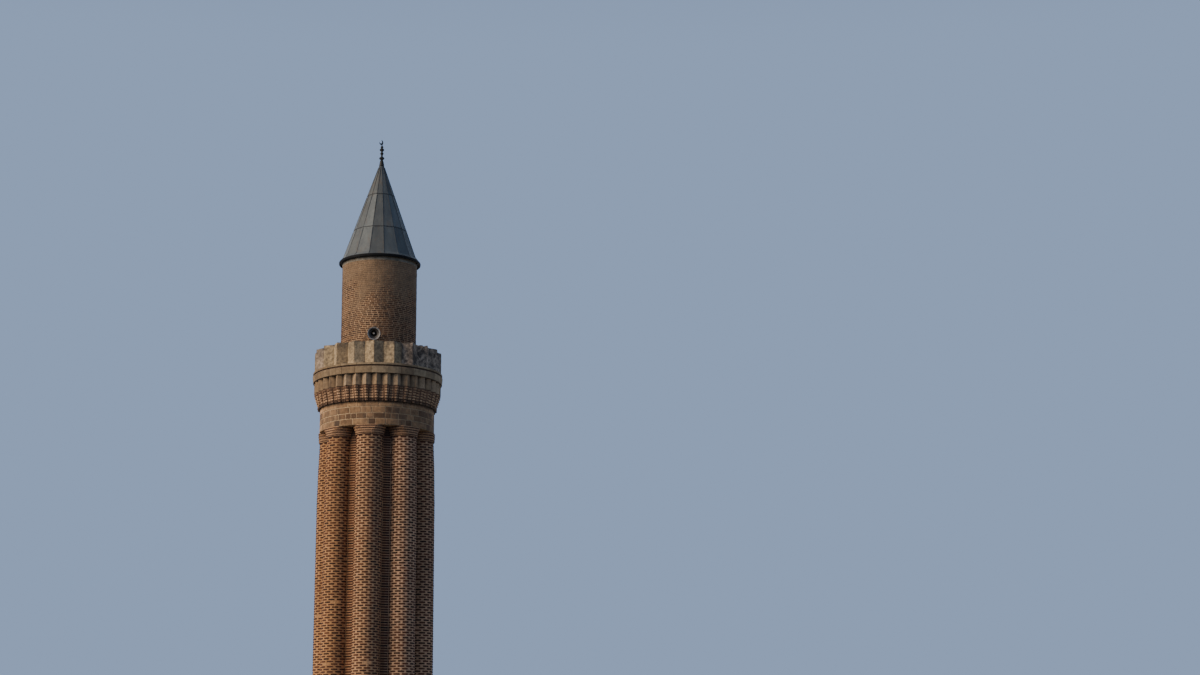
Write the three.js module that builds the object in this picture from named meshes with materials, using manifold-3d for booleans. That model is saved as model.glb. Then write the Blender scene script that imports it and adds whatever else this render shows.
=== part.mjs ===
// A fluted brick minaret from ground level to the tip of its finial, in millimetres, +Z up.
// The origin is the middle of the underside of the plinth. Angles are in degrees, counted from
// the front (-Y) towards the right (+X). One of the eight round flutes points to the front.
import * as THREE from 'three';
import { ConvexGeometry } from 'three/addons/geometries/ConvexGeometry.js';
import { mergeVertices } from 'three/addons/utils/BufferGeometryUtils.js';
import Module from 'manifold-3d';

const wasm = await Module();
wasm.setup();

// Joints between pieces that stand side by side
const JOINT_GAP = 0.3;
const JOINT_ANGLE = 0.009;

// Heights of the tiers, from the ground up
const PLINTH_TOP = 200;
const SHOULDER_START = 5000;
const BASE_TOP = 6500;
const DRUM_TOP = 9700;
const CORNICE_STEP = 9950;
const SHAFT_START = 10300;
const CAP_START = 25697;
const NECK_START = 26060;
const CORBEL_START = 26970;
const TEETH_START = 27556;
const FASCIA_START = 28010;
const FLOOR_START = 28262;
const FILLET_START = 28329;
const FLOOR_TOP = 28404;
const PARAPET_TOP = 29292;
const UPPER_SHAFT_TOP = 32716;
const BAND_TOP = 32881;
const EAVE_TOP = 32950;
const CONE_TOP = 36930;
const FINIAL_TOP = 37800;

// Square stone base
const PLINTH_HALF = 2850;
const BASE_HALF = 2700;
const ROOM_HALF = 1050;
const BASE_TOP_CORNER = BASE_HALF * Math.tan(Math.PI / 8);
const ENTRANCE_WIDTH = 1000;
const ENTRANCE_SPRING = 2200;
const ENTRANCE_LEAF_FRONT = 2250;
const ENTRANCE_LEAF_THICKNESS = 80;
const LEAF_CLEARANCE = 5;

// Octagonal drum with blind niches
const DRUM_APOTHEM = 2450;
const WELL_APOTHEM = 1050;
const PANEL_WIDTH = 1560;
const PANEL_BOTTOM = 6820;
const PANEL_TOP = 9420;
const PANEL_DEPTH = 60;
const NICHE_WIDTH = 1040;
const NICHE_BOTTOM = 7080;
const NICHE_SPRING = 8320;
const NICHE_DEPTH = 330;
const CORNICE_APOTHEM = 2560;
const SHAFT_FOOT_RADIUS = 2420;

// Fluted brick shaft: eight half-round flutes with a flat strip between each two
const FLUTES = 8;
const FLUTE_PITCH = 360 / FLUTES;
const FLUTE_CENTRE = 1770;
const STRIP_RADIUS = 1730;
const STRIP_HALF_WIDTH = 165;
const FLUTE_STEPS = 12;
const SHAFT_TAPER = [
  { z: SHAFT_START, scale: 1.010 },
  { z: 18300, scale: 1.004 },
  { z: 23300, scale: 1.000 },
  { z: 24660, scale: 0.9878 },
  { z: CAP_START, scale: 0.9690 },
];
const CAP_COURSES = [
  { strip: 150, radius: 2226 },
  { strip: 122, radius: 2238 },
  { strip: 84, radius: 2248 },
  { strip: 34, radius: 2254 },
];

// Gallery: neck, corbel, toothed band, fascia, floor and folded parapet
const ROUND_STEPS = 48;
const NECK_RADIUS = 2215;
const TEETH = 38;
const FIRST_TOOTH_ANGLE = 7.9;
const CORBEL_FOOT = { ridge: 2262, valley: 2236 };
const CORBEL_HEAD = { ridge: 2450, valley: 2330 };
const TOOTH_RIDGE = 2466;
const TOOTH_VALLEY = 2330;
const FASCIA_FOOT_RADIUS = 2507;
const FASCIA_HEAD_RADIUS = 2532;
const GROOVE_RADIUS = 2485;
const FILLET_RADIUS = 2515;
const FOLDS = 20;
const FOLD_PITCH = 360 / FOLDS;
const FIRST_RIDGE_ANGLE = 5.1;
const FOLD_RIDGE = 2480;
const FOLD_VALLEY = 2270;
const PARAPET_THICKNESS = 145;
const PARAPET_PANELS = 5;

// Upper shaft, its band and the eaves
const UPPER_RADIUS = 1465;
const UPPER_ROOM_RADIUS = 1000;
const GALLERY_DOOR_WIDTH = 620;
const GALLERY_DOOR_SPRING = 29650;
const GALLERY_LEAF_FACE = 1330;
const GALLERY_LEAF_THICKNESS = 60;
const BAND_RADIUS = 1469;
const EAVE_RADIUS = 1609;
const EAVE_LIP = 40;

// Cone of sixteen facets
const GORES = 16;
const FIRST_GORE_ANGLE = 15;
const CONE_FOOT = 1568;
const CONE_KNEE_RADIUS = 1436;
const CONE_KNEE_HEIGHT = 33120;
const CONE_HEAD_RADIUS = 92;
const CONE_SHELL = 85;

// Finial: a bottle-shaped foot and four balls on one rod, under a crescent
const FINIAL_STEPS = 14;
const ROD_RADIUS = 24;
const SOCKET_RADIUS = 112;
const SOCKET_HEIGHT = 205;
const FINIAL_BALLS = [
  { z: 37277, radius: 100, half: 62 },
  { z: 37470, radius: 90, half: 56 },
  { z: 37606, radius: 84, half: 52 },
  { z: 37735, radius: 44, half: 38 },
];
const CRESCENT_RADIUS = 112;
const CRESCENT_INNER = 94;
const CRESCENT_RISE = 38;
const CRESCENT_THICKNESS = 18;
const CRESCENT_STEM = 50;
const CRESCENT_TURN = 54;

// Horn loudspeaker on the front of the upper shaft
const HORN_STEPS = 24;
const HORN_ANGLE = 3.4;
const HORN_MOUTH_OUT = 1900;
const HORN_MOUTH_HEIGHT = 29670;
const HORN_DROOP = 11;
const HORN_RADIUS = 250;
const DRIVER_RADIUS = 75;
const HORN_BACK = -395;
const BRACKET_WIDTH = 60;

// Finishes
const FINISHES = {
  limestone: { color: 0xb79f7a, roughness: 0.92, metalness: 0 },
  parapetStone: { color: 0x9c8c70, roughness: 0.94, metalness: 0 },
  neckStone: { color: 0x94785a, roughness: 0.93, metalness: 0 },
  shaftBrick: { color: 0x9a6a48, roughness: 0.95, metalness: 0 },
  upperBrick: { color: 0x9a744c, roughness: 0.95, metalness: 0 },
  timber: { color: 0x4e3524, roughness: 0.75, metalness: 0 },
  lead: { color: 0x6b7377, roughness: 0.55, metalness: 0.6 },
  finialMetal: { color: 0x4a4d4c, roughness: 0.45, metalness: 0.8 },
  hornMetal: { color: 0xa9abab, roughness: 0.5, metalness: 0.3 },
  bracketSteel: { color: 0x4c4c4c, roughness: 0.6, metalness: 0.8 },
};

const minaret = new THREE.Group();

// Shared shape helpers

function radians(degrees) {
  return THREE.MathUtils.degToRad(degrees);
}

function polar(radius, angle) {
  return new THREE.Vector2(radius * Math.sin(radians(angle)), -radius * Math.cos(radians(angle)));
}

function arc(radius, from, to, steps) {
  const points = [];
  for (let i = 0; i <= steps; i += 1) {
    points.push(polar(radius, from + ((to - from) * i) / steps));
  }
  return points;
}

function circle(radius, steps, first = 0) {
  return arc(radius, first, first + 360, steps).slice(0, steps);
}

function octagon(apothem) {
  return circle(apothem / Math.cos(Math.PI / FLUTES), FLUTES, FLUTE_PITCH / 2);
}

// Merges shared corners and turns the faces outwards
function closed(geometry) {
  geometry.deleteAttribute('normal');
  geometry.deleteAttribute('uv');
  const merged = mergeVertices(geometry, 1e-3);
  const index = Array.from(merged.index.array);
  const position = merged.attributes.position;
  const corners = [new THREE.Vector3(), new THREE.Vector3(), new THREE.Vector3()];
  const kept = [];
  let volume = 0;
  for (let i = 0; i < index.length; i += 3) {
    const [a, b, c] = index.slice(i, i + 3);
    if (a === b || b === c || c === a) continue;
    corners.forEach((corner, k) => corner.fromBufferAttribute(position, index[i + k]));
    volume += corners[0].dot(corners[1].clone().cross(corners[2]));
    kept.push(a, b, c);
  }
  merged.setIndex(volume < 0 ? kept.reverse() : kept);
  return merged;
}

// A solid through outlines of equal length stacked in height, with an optional straight well
function loft(levels, well = null) {
  const positions = [];
  const triangle = (...corners) => corners.forEach((p) => positions.push(p.x, p.y, p.z));
  const at = (point, z) => new THREE.Vector3(point.x, point.y, z);
  const wall = (lower, upper, low, high, inward) => {
    for (let i = 0; i < lower.length; i += 1) {
      const j = (i + 1) % lower.length;
      const quad = [at(lower[i], low), at(lower[j], low), at(upper[j], high), at(upper[i], high)];
      if (inward) quad.reverse();
      triangle(quad[0], quad[1], quad[2]);
      triangle(quad[0], quad[2], quad[3]);
    }
  };
  for (let k = 1; k < levels.length; k += 1) {
    wall(levels[k - 1].outline, levels[k].outline, levels[k - 1].z, levels[k].z, false);
  }
  const bottom = levels[0];
  const top = levels[levels.length - 1];
  if (well) wall(well, well, bottom.z, top.z, true);
  for (const { level, up } of [{ level: bottom, up: false }, { level: top, up: true }]) {
    const holes = well ? [well.slice().reverse()] : [];
    const points = [...level.outline, ...holes.flat()];
    for (const face of THREE.ShapeUtils.triangulateShape(level.outline.slice(), holes)) {
      const corners = face.map((k) => at(points[k], level.z));
      triangle(...(up ? corners : corners.reverse()));
    }
  }
  const geometry = new THREE.BufferGeometry();
  geometry.setAttribute('position', new THREE.Float32BufferAttribute(positions, 3));
  return closed(geometry);
}

function prism(outline, low, high, well = null) {
  return loft([{ z: low, outline }, { z: high, outline }], well);
}

function lathe(profile, steps, first = 0) {
  const points = profile.map(([radius, height]) => new THREE.Vector2(radius, height));
  const geometry = new THREE.LatheGeometry(points, steps, radians(first));
  geometry.rotateX(Math.PI / 2);
  return closed(geometry);
}

function box(width, depth, height, x, y, z) {
  const geometry = new THREE.BoxGeometry(width, depth, height);
  geometry.translate(x, y, z);
  return closed(geometry);
}

function solid(geometry) {
  const mesh = closed(geometry.clone());
  return new wasm.Manifold(new wasm.Mesh({
    numProp: 3,
    vertProperties: new Float32Array(mesh.attributes.position.array),
    triVerts: new Uint32Array(mesh.index.array),
  }));
}

function geometryOf(manifold) {
  const mesh = manifold.getMesh();
  const geometry = new THREE.BufferGeometry();
  geometry.setAttribute('position', new THREE.Float32BufferAttribute(mesh.vertProperties, 3));
  geometry.setIndex(Array.from(mesh.triVerts));
  return geometry;
}

function cut(body, ...tools) {
  return geometryOf(tools.reduce((rest, tool) => rest.subtract(solid(tool)), solid(body)));
}

function join(...bodies) {
  return geometryOf(bodies.map(solid).reduce((all, body) => all.add(body)));
}

// A two-centred pointed arch over straight jambs, from its sill at height 0
function archShape(width, spring) {
  const radius = 0.75 * width;
  const offset = radius - width / 2;
  const apex = Math.acos(offset / radius);
  const shape = new THREE.Shape();
  shape.moveTo(-width / 2, 0);
  shape.lineTo(width / 2, 0);
  shape.lineTo(width / 2, spring);
  shape.absarc(-offset, spring, radius, 0, apex, false);
  shape.absarc(offset, spring, radius, Math.PI - apex, Math.PI, false);
  return shape;
}

// The same arch as an upright block whose front lies at y = -front and goes back by depth
function archBlock(width, bottom, spring, front, depth) {
  const shape = archShape(width, spring - bottom);
  const geometry = new THREE.ExtrudeGeometry(shape, { depth, bevelEnabled: false, curveSegments: 5 });
  geometry.rotateX(Math.PI / 2);
  geometry.translate(0, depth - front, bottom);
  return closed(geometry);
}

function piece(name, geometry, finish, turn = 0) {
  const mesh = new THREE.Mesh(geometry, new THREE.MeshStandardMaterial(FINISHES[finish]));
  mesh.name = name;
  mesh.rotation.z = radians(turn);
  minaret.add(mesh);
  return mesh;
}

// Square base: a plinth that is also the ground floor, and walls mitred at the corners

function baseQuarter(bottom) {
  const points = [];
  const add = (x, y, z) => points.push(new THREE.Vector3(x, y, z));
  const cornerCut = (BASE_HALF + BASE_TOP_CORNER) / 2;
  for (const side of [-1, 1]) {
    for (const z of [bottom, SHOULDER_START]) {
      add(side * (BASE_HALF - JOINT_GAP), -BASE_HALF, z);
    }
    add(side * BASE_TOP_CORNER, -BASE_HALF, BASE_TOP);
    add(side * (cornerCut - JOINT_GAP), -cornerCut, BASE_TOP);
    for (const z of [bottom, BASE_TOP]) {
      add(side * (ROOM_HALF - JOINT_GAP), -ROOM_HALF, z);
    }
  }
  return closed(new ConvexGeometry(points));
}

function buildBase() {
  const plinth = box(2 * PLINTH_HALF, 2 * PLINTH_HALF, PLINTH_TOP, 0, 0, PLINTH_TOP / 2);
  piece('plinth', plinth, 'limestone');
  piece('base_wall_right', baseQuarter(PLINTH_TOP), 'limestone', 90);
  piece('base_wall_back', baseQuarter(PLINTH_TOP), 'limestone', 180);
  piece('base_wall_left', baseQuarter(PLINTH_TOP), 'limestone', -90);
  for (const [side, name] of [[-1, 'base_wall_front_left'], [1, 'base_wall_front_right']]) {
    const outline = [
      new THREE.Vector2(side * (BASE_HALF - JOINT_GAP), -BASE_HALF),
      new THREE.Vector2((side * ENTRANCE_WIDTH) / 2, -BASE_HALF),
      new THREE.Vector2((side * ENTRANCE_WIDTH) / 2, -ROOM_HALF),
      new THREE.Vector2(side * (ROOM_HALF - JOINT_GAP), -ROOM_HALF),
    ];
    if (side > 0) outline.reverse();
    piece(name, prism(outline, PLINTH_TOP, ENTRANCE_SPRING), 'limestone');
  }
  const doorway = archBlock(ENTRANCE_WIDTH, PLINTH_TOP, ENTRANCE_SPRING, BASE_HALF + 10, BASE_HALF);
  piece('base_wall_over_door', cut(baseQuarter(ENTRANCE_SPRING), doorway), 'limestone');
  const leafWidth = ENTRANCE_WIDTH - 2 * LEAF_CLEARANCE;
  const leaf = archBlock(
    leafWidth, PLINTH_TOP, ENTRANCE_SPRING, ENTRANCE_LEAF_FRONT, ENTRANCE_LEAF_THICKNESS);
  piece('entrance_door', leaf, 'timber');
}

// Octagonal drum: four walls of two faces each, with a framed blind niche on every face

function drumNiche(angle) {
  const frame = box(
    PANEL_WIDTH, 2 * PANEL_DEPTH, PANEL_TOP - PANEL_BOTTOM,
    0, -DRUM_APOTHEM, (PANEL_TOP + PANEL_BOTTOM) / 2);
  const niche = archBlock(
    NICHE_WIDTH, NICHE_BOTTOM, NICHE_SPRING, DRUM_APOTHEM + 10, NICHE_DEPTH + 10);
  return [frame, niche].map((tool) => tool.rotateZ(radians(angle)));
}

function buildDrum() {
  const outer = DRUM_APOTHEM / Math.cos(radians(FLUTE_PITCH / 2));
  const inner = WELL_APOTHEM / Math.cos(radians(FLUTE_PITCH / 2));
  const from = -FLUTE_PITCH / 2 + JOINT_ANGLE;
  const to = (3 * FLUTE_PITCH) / 2 - JOINT_ANGLE;
  const outline = [...arc(outer, from, to, 2), ...arc(inner, to, from, 2)];
  const wall = prism(outline, BASE_TOP, DRUM_TOP);
  const walled = cut(wall, ...drumNiche(0), ...drumNiche(FLUTE_PITCH));
  ['front', 'right', 'back', 'left'].forEach((side, i) => {
    piece(`drum_wall_${side}`, walled.clone(), 'limestone', i * 90);
  });
  const slab = prism(octagon(CORNICE_APOTHEM), DRUM_TOP, CORNICE_STEP);
  const foot = prism(circle(SHAFT_FOOT_RADIUS, ROUND_STEPS), CORNICE_STEP, SHAFT_START);
  const well = prism(octagon(WELL_APOTHEM), BASE_TOP, NECK_START);
  piece('drum_cornice', cut(join(slab, foot), well), 'limestone');
}

// One flute with half a flat strip on each side, as an outline seen from above

function fluteOutline(scale, stripHalf, limit) {
  const edge = FLUTE_PITCH / 2 - JOINT_ANGLE;
  const strip = polar(STRIP_RADIUS, FLUTE_PITCH / 2);
  const along = polar(1, FLUTE_PITCH / 2 - 90);
  const corner = strip.clone().addScaledVector(along, stripHalf);
  const centre = polar(FLUTE_CENTRE, 0);
  const reach = corner.clone().sub(centre);
  const sweep = THREE.MathUtils.radToDeg(Math.atan2(reach.x, -reach.y));
  const round = arc(reach.length(), -sweep, sweep, FLUTE_STEPS).map((point) => {
    const placed = point.add(centre).multiplyScalar(scale);
    return limit ? placed.clampLength(0, limit) : placed;
  });
  const stripEdge = STRIP_RADIUS * scale;
  return [
    polar(stripEdge, -edge),
    ...round,
    polar(stripEdge, edge),
    polar(WELL_APOTHEM / Math.cos(radians(FLUTE_PITCH / 2)), edge),
    polar(WELL_APOTHEM / Math.cos(radians(FLUTE_PITCH / 2)), -edge),
  ];
}

function buildShaft() {
  const levels = SHAFT_TAPER.map(({ z, scale }) => {
    return { z, outline: fluteOutline(scale, STRIP_HALF_WIDTH, null) };
  });
  const topScale = SHAFT_TAPER[SHAFT_TAPER.length - 1].scale;
  const course = (NECK_START - CAP_START) / CAP_COURSES.length;
  CAP_COURSES.forEach(({ strip, radius }, i) => {
    const outline = fluteOutline(topScale, strip, radius);
    levels.push({ z: Math.round(CAP_START + i * course), outline });
    levels.push({ z: Math.round(CAP_START + (i + 1) * course), outline });
  });
  const flute = loft(levels);
  for (let i = 0; i < FLUTES; i += 1) {
    piece(`shaft_flute_${i + 1}`, flute.clone(), 'shaftBrick', i * FLUTE_PITCH);
  }
}

// Gallery rings, each with the shaft's eight-sided well

function folded(ridge, valley, count, firstRidge) {
  const points = [];
  const pitch = 360 / count;
  for (let i = 0; i < count; i += 1) {
    points.push(polar(ridge, firstRidge + i * pitch));
    points.push(polar(valley, firstRidge + (i + 0.5) * pitch));
  }
  return points;
}

function buildGallery() {
  const well = octagon(WELL_APOTHEM);
  const neck = prism(circle(NECK_RADIUS, ROUND_STEPS), NECK_START, CORBEL_START, well);
  piece('neck_ring', neck, 'neckStone');
  const foot = folded(CORBEL_FOOT.ridge, CORBEL_FOOT.valley, TEETH, FIRST_TOOTH_ANGLE);
  const head = folded(CORBEL_HEAD.ridge, CORBEL_HEAD.valley, TEETH, FIRST_TOOTH_ANGLE);
  const corbel = loft([{ z: CORBEL_START, outline: foot }, { z: TEETH_START, outline: head }], well);
  piece('corbel_ring', corbel, 'shaftBrick');
  const teeth = folded(TOOTH_RIDGE, TOOTH_VALLEY, TEETH, FIRST_TOOTH_ANGLE);
  piece('toothed_ring', prism(teeth, TEETH_START, FASCIA_START, well), 'limestone');
  const fascia = loft([
    { z: FASCIA_START, outline: circle(FASCIA_FOOT_RADIUS, ROUND_STEPS) },
    { z: FLOOR_START, outline: circle(FASCIA_HEAD_RADIUS, ROUND_STEPS) },
  ], well);
  piece('gallery_fascia', fascia, 'limestone');
  const floor = loft([
    { z: FLOOR_START, outline: circle(GROOVE_RADIUS, ROUND_STEPS) },
    { z: FILLET_START, outline: circle(GROOVE_RADIUS, ROUND_STEPS) },
    { z: FILLET_START, outline: circle(FILLET_RADIUS, ROUND_STEPS) },
    { z: FLOOR_TOP, outline: circle(FILLET_RADIUS, ROUND_STEPS) },
  ]);
  piece('gallery_floor', floor, 'limestone');
}

function buildParapet() {
  const foldsEach = FOLDS / PARAPET_PANELS;
  const firstValley = FIRST_RIDGE_ANGLE - FOLD_PITCH / 2;
  const side = (inset) => {
    const points = [];
    for (let i = 0; i <= 2 * foldsEach; i += 1) {
      const radius = (i % 2 ? FOLD_RIDGE : FOLD_VALLEY) - inset;
      const end = i === 0 ? JOINT_ANGLE : 0;
      const start = i === 2 * foldsEach ? JOINT_ANGLE : 0;
      points.push(polar(radius, firstValley + (i * FOLD_PITCH) / 2 + end - start));
    }
    return points;
  };
  const outline = [...side(0), ...side(PARAPET_THICKNESS).reverse()];
  const panel = prism(outline, FLOOR_TOP, PARAPET_TOP);
  for (let i = 0; i < PARAPET_PANELS; i += 1) {
    piece(`parapet_panel_${i + 1}`, panel.clone(), 'parapetStone', (i * 360) / PARAPET_PANELS);
  }
}

// Upper shaft: three plain quarters and a fourth split beside and over the gallery door

function curvedWall(outerFrom, outerTo, innerFrom, innerTo, steps, low, high) {
  const outer = arc(UPPER_RADIUS, outerFrom, outerTo, steps);
  const inner = arc(UPPER_ROOM_RADIUS, innerTo, innerFrom, steps);
  return prism([...outer, ...inner], low, high);
}

function buildUpperShaft() {
  const from = -45 + JOINT_ANGLE;
  const to = 45 - JOINT_ANGLE;
  const quarter = curvedWall(from, to, from, to, 12, FLOOR_TOP, UPPER_SHAFT_TOP);
  piece('upper_shaft_front', quarter.clone(), 'upperBrick');
  piece('upper_shaft_right', quarter.clone(), 'upperBrick', 90);
  piece('upper_shaft_left', quarter.clone(), 'upperBrick', -90);
  const jamb = GALLERY_DOOR_WIDTH / 2;
  const outerJamb = THREE.MathUtils.radToDeg(Math.asin(jamb / UPPER_RADIUS));
  const innerJamb = THREE.MathUtils.radToDeg(Math.asin(jamb / UPPER_ROOM_RADIUS));
  const low = FLOOR_TOP;
  const high = GALLERY_DOOR_SPRING;
  const beside = curvedWall(outerJamb, to, innerJamb, to, 5, low, high);
  const besideLeft = curvedWall(-to, -outerJamb, -to, -innerJamb, 5, low, high);
  piece('upper_shaft_back_left', beside, 'upperBrick', 180);
  piece('upper_shaft_back_right', besideLeft, 'upperBrick', 180);
  const over = curvedWall(from, to, from, to, 12, GALLERY_DOOR_SPRING, UPPER_SHAFT_TOP);
  const doorway = archBlock(
    GALLERY_DOOR_WIDTH, FLOOR_TOP, GALLERY_DOOR_SPRING, UPPER_RADIUS + 10, UPPER_RADIUS);
  piece('upper_shaft_over_door', cut(over, doorway), 'upperBrick', 180);
  const leaf = archBlock(
    GALLERY_DOOR_WIDTH - 2 * LEAF_CLEARANCE, FLOOR_TOP, GALLERY_DOOR_SPRING,
    GALLERY_LEAF_FACE, GALLERY_LEAF_THICKNESS);
  piece('gallery_door', leaf, 'timber', 180);
  const room = circle(UPPER_ROOM_RADIUS, GORES * 2);
  const band = prism(circle(BAND_RADIUS, ROUND_STEPS), UPPER_SHAFT_TOP, BAND_TOP, room);
  piece('upper_band', band, 'limestone');
}

// Roof: eaves ring, hollow cone of flat facets, finial and crescent

function buildRoof() {
  const eave = loft([
    { z: BAND_TOP, outline: circle(EAVE_RADIUS - EAVE_LIP, ROUND_STEPS) },
    { z: BAND_TOP + EAVE_LIP / 2, outline: circle(EAVE_RADIUS, ROUND_STEPS) },
    { z: BAND_TOP + EAVE_LIP, outline: circle(EAVE_RADIUS, ROUND_STEPS) },
    { z: EAVE_TOP, outline: circle(CONE_FOOT, ROUND_STEPS) },
  ], circle(UPPER_ROOM_RADIUS, GORES * 2));
  piece('eaves_ring', eave, 'lead');
  const slope = (CONE_TOP - CONE_KNEE_HEIGHT) / (CONE_KNEE_RADIUS - CONE_HEAD_RADIUS);
  const innerKnee = CONE_KNEE_RADIUS - CONE_SHELL;
  const cone = lathe([
    [0, CONE_KNEE_HEIGHT + innerKnee * slope],
    [innerKnee, CONE_KNEE_HEIGHT],
    [innerKnee, EAVE_TOP],
    [CONE_FOOT, EAVE_TOP],
    [(CONE_FOOT + CONE_KNEE_RADIUS) / 2 - 18, (EAVE_TOP + CONE_KNEE_HEIGHT) / 2],
    [CONE_KNEE_RADIUS, CONE_KNEE_HEIGHT],
    [CONE_HEAD_RADIUS, CONE_TOP],
    [0, CONE_TOP],
  ], GORES, FIRST_GORE_ANGLE);
  piece('cone_roof', cone, 'lead');
}

function buildFinial() {
  const profile = [
    [0, CONE_TOP],
    [SOCKET_RADIUS * 0.86, CONE_TOP],
    [SOCKET_RADIUS, CONE_TOP + SOCKET_HEIGHT * 0.2],
    [SOCKET_RADIUS * 0.9, CONE_TOP + SOCKET_HEIGHT * 0.6],
    [ROD_RADIUS * 1.6, CONE_TOP + SOCKET_HEIGHT],
  ];
  for (const { z, radius, half } of FINIAL_BALLS) {
    profile.push([ROD_RADIUS, z - half]);
    for (const turn of [-50, 0, 50]) {
      profile.push([radius * Math.cos(radians(turn)), z + half * Math.sin(radians(turn))]);
    }
    profile.push([ROD_RADIUS, z + half]);
  }
  profile.push([ROD_RADIUS * 0.7, FINIAL_TOP], [0, FINIAL_TOP]);
  piece('finial', lathe(profile, FINIAL_STEPS), 'finialMetal');
  const horn = Math.acos((CRESCENT_RISE ** 2 + CRESCENT_RADIUS ** 2 - CRESCENT_INNER ** 2)
    / (2 * CRESCENT_RISE * CRESCENT_RADIUS));
  const tip = new THREE.Vector2(Math.sin(horn), Math.cos(horn)).multiplyScalar(CRESCENT_RADIUS);
  const innerTip = Math.atan2(tip.y - CRESCENT_RISE, tip.x);
  const outerTip = Math.atan2(tip.y, tip.x);
  const shape = new THREE.Shape();
  shape.absarc(0, 0, CRESCENT_RADIUS, Math.PI - outerTip, outerTip + 2 * Math.PI, false);
  shape.absarc(0, CRESCENT_RISE, CRESCENT_INNER, innerTip + 2 * Math.PI, Math.PI - innerTip, true);
  const depth = CRESCENT_THICKNESS;
  const moon = new THREE.ExtrudeGeometry(shape, { depth, bevelEnabled: false, curveSegments: 14 });
  moon.translate(0, 0, -depth / 2);
  moon.rotateX(Math.PI / 2);
  moon.translate(0, 0, FINIAL_TOP + CRESCENT_STEM + CRESCENT_RADIUS - 6);
  const stem = prism(circle(ROD_RADIUS * 0.6, 8), FINIAL_TOP, FINIAL_TOP + CRESCENT_STEM);
  piece('crescent', join(moon, stem), 'finialMetal', CRESCENT_TURN);
}

// Horn loudspeaker with its driver, drooping towards the street, on a small wall bracket

function buildLoudspeaker() {
  const throat = -268;
  const bell = lathe([
    [0, HORN_BACK], [DRIVER_RADIUS, HORN_BACK], [DRIVER_RADIUS, throat - 30], [62, throat - 16],
    [78, -200], [112, -110], [172, -45], [HORN_RADIUS, -8], [HORN_RADIUS, 0], [240, 0],
    [160, -52], [98, -120], [64, -205], [50, throat], [22, throat], [22, -110],
    [60, -86], [62, -68], [40, -46], [0, -38],
  ], HORN_STEPS);
  const mouth = polar(HORN_MOUTH_OUT, HORN_ANGLE);
  const aim = new THREE.Matrix4().makeRotationZ(radians(HORN_ANGLE));
  aim.multiply(new THREE.Matrix4().makeRotationX(radians(90 + HORN_DROOP)));
  aim.setPosition(mouth.x, mouth.y, HORN_MOUTH_HEIGHT);
  piece('loudspeaker_horn', closed(bell.applyMatrix4(aim)), 'hornMetal');
  const saddle = new THREE.CylinderGeometry(
    DRIVER_RADIUS + JOINT_GAP, DRIVER_RADIUS + JOINT_GAP, 500, HORN_STEPS);
  saddle.rotateX(Math.PI / 2);
  saddle.translate(0, 0, HORN_BACK);
  const turned = (geometry) => geometry.rotateZ(radians(HORN_ANGLE));
  const plate = turned(box(BRACKET_WIDTH * 2, 60, 190, 0, -UPPER_RADIUS + 14, 29600));
  const arm = turned(box(BRACKET_WIDTH, 170, 24, 0, -UPPER_RADIUS - 80, 29560));
  const post = turned(box(BRACKET_WIDTH, 24, 150, 0, -UPPER_RADIUS - 110, 29640));
  const wall = prism(circle(UPPER_RADIUS + JOINT_GAP, ROUND_STEPS), FLOOR_TOP, UPPER_SHAFT_TOP);
  const bracket = cut(join(plate, arm, post), wall, saddle.applyMatrix4(aim));
  piece('loudspeaker_bracket', bracket, 'bracketSteel');
}

buildBase();
buildDrum();
buildShaft();
buildGallery();
buildParapet();
buildUpperShaft();
buildRoof();
buildFinial();
buildLoudspeaker();

export default minaret;
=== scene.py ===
"""Looks of a fluted brick minaret, laid stone by stone round its frame. Metres, +Z up, front at -Y.

Angles in plan are in degrees, counted from the front towards the right. On a wall, "along" runs to
the right as seen from outside, and "out" is the distance in front of the wall's face.
"""

import bisect
import math
import random

import bpy
from bpy.props import FloatProperty, FloatVectorProperty, PointerProperty
from mathutils import Matrix, Vector, noise


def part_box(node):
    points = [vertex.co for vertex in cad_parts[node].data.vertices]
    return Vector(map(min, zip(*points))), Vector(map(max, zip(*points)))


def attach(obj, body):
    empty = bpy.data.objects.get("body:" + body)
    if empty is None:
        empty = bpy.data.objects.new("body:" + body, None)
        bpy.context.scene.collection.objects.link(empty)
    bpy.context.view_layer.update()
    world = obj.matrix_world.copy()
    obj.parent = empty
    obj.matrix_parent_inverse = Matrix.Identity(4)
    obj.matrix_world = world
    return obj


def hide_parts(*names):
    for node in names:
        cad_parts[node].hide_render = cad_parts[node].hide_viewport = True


bl_info = {
    "name": "Fluted brick minaret",
    "version": (1, 0, 0),
    "blender": (4, 5, 0),
    "location": "3D View > Sidebar > Minaret",
    "description": "Lays the bricks, stones, lead and fittings of a minaret round its frame",
    "category": "Add Mesh",
}

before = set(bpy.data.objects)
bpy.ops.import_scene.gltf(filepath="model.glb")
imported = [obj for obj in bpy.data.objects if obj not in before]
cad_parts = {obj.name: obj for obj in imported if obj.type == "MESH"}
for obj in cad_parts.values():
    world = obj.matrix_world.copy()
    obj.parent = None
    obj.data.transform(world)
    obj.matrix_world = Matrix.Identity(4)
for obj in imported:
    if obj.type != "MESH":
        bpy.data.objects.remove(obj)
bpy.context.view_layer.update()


def heights(node):
    """Lowest and highest height of a node of the frame."""
    low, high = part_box(node)
    return low[2], high[2]


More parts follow.
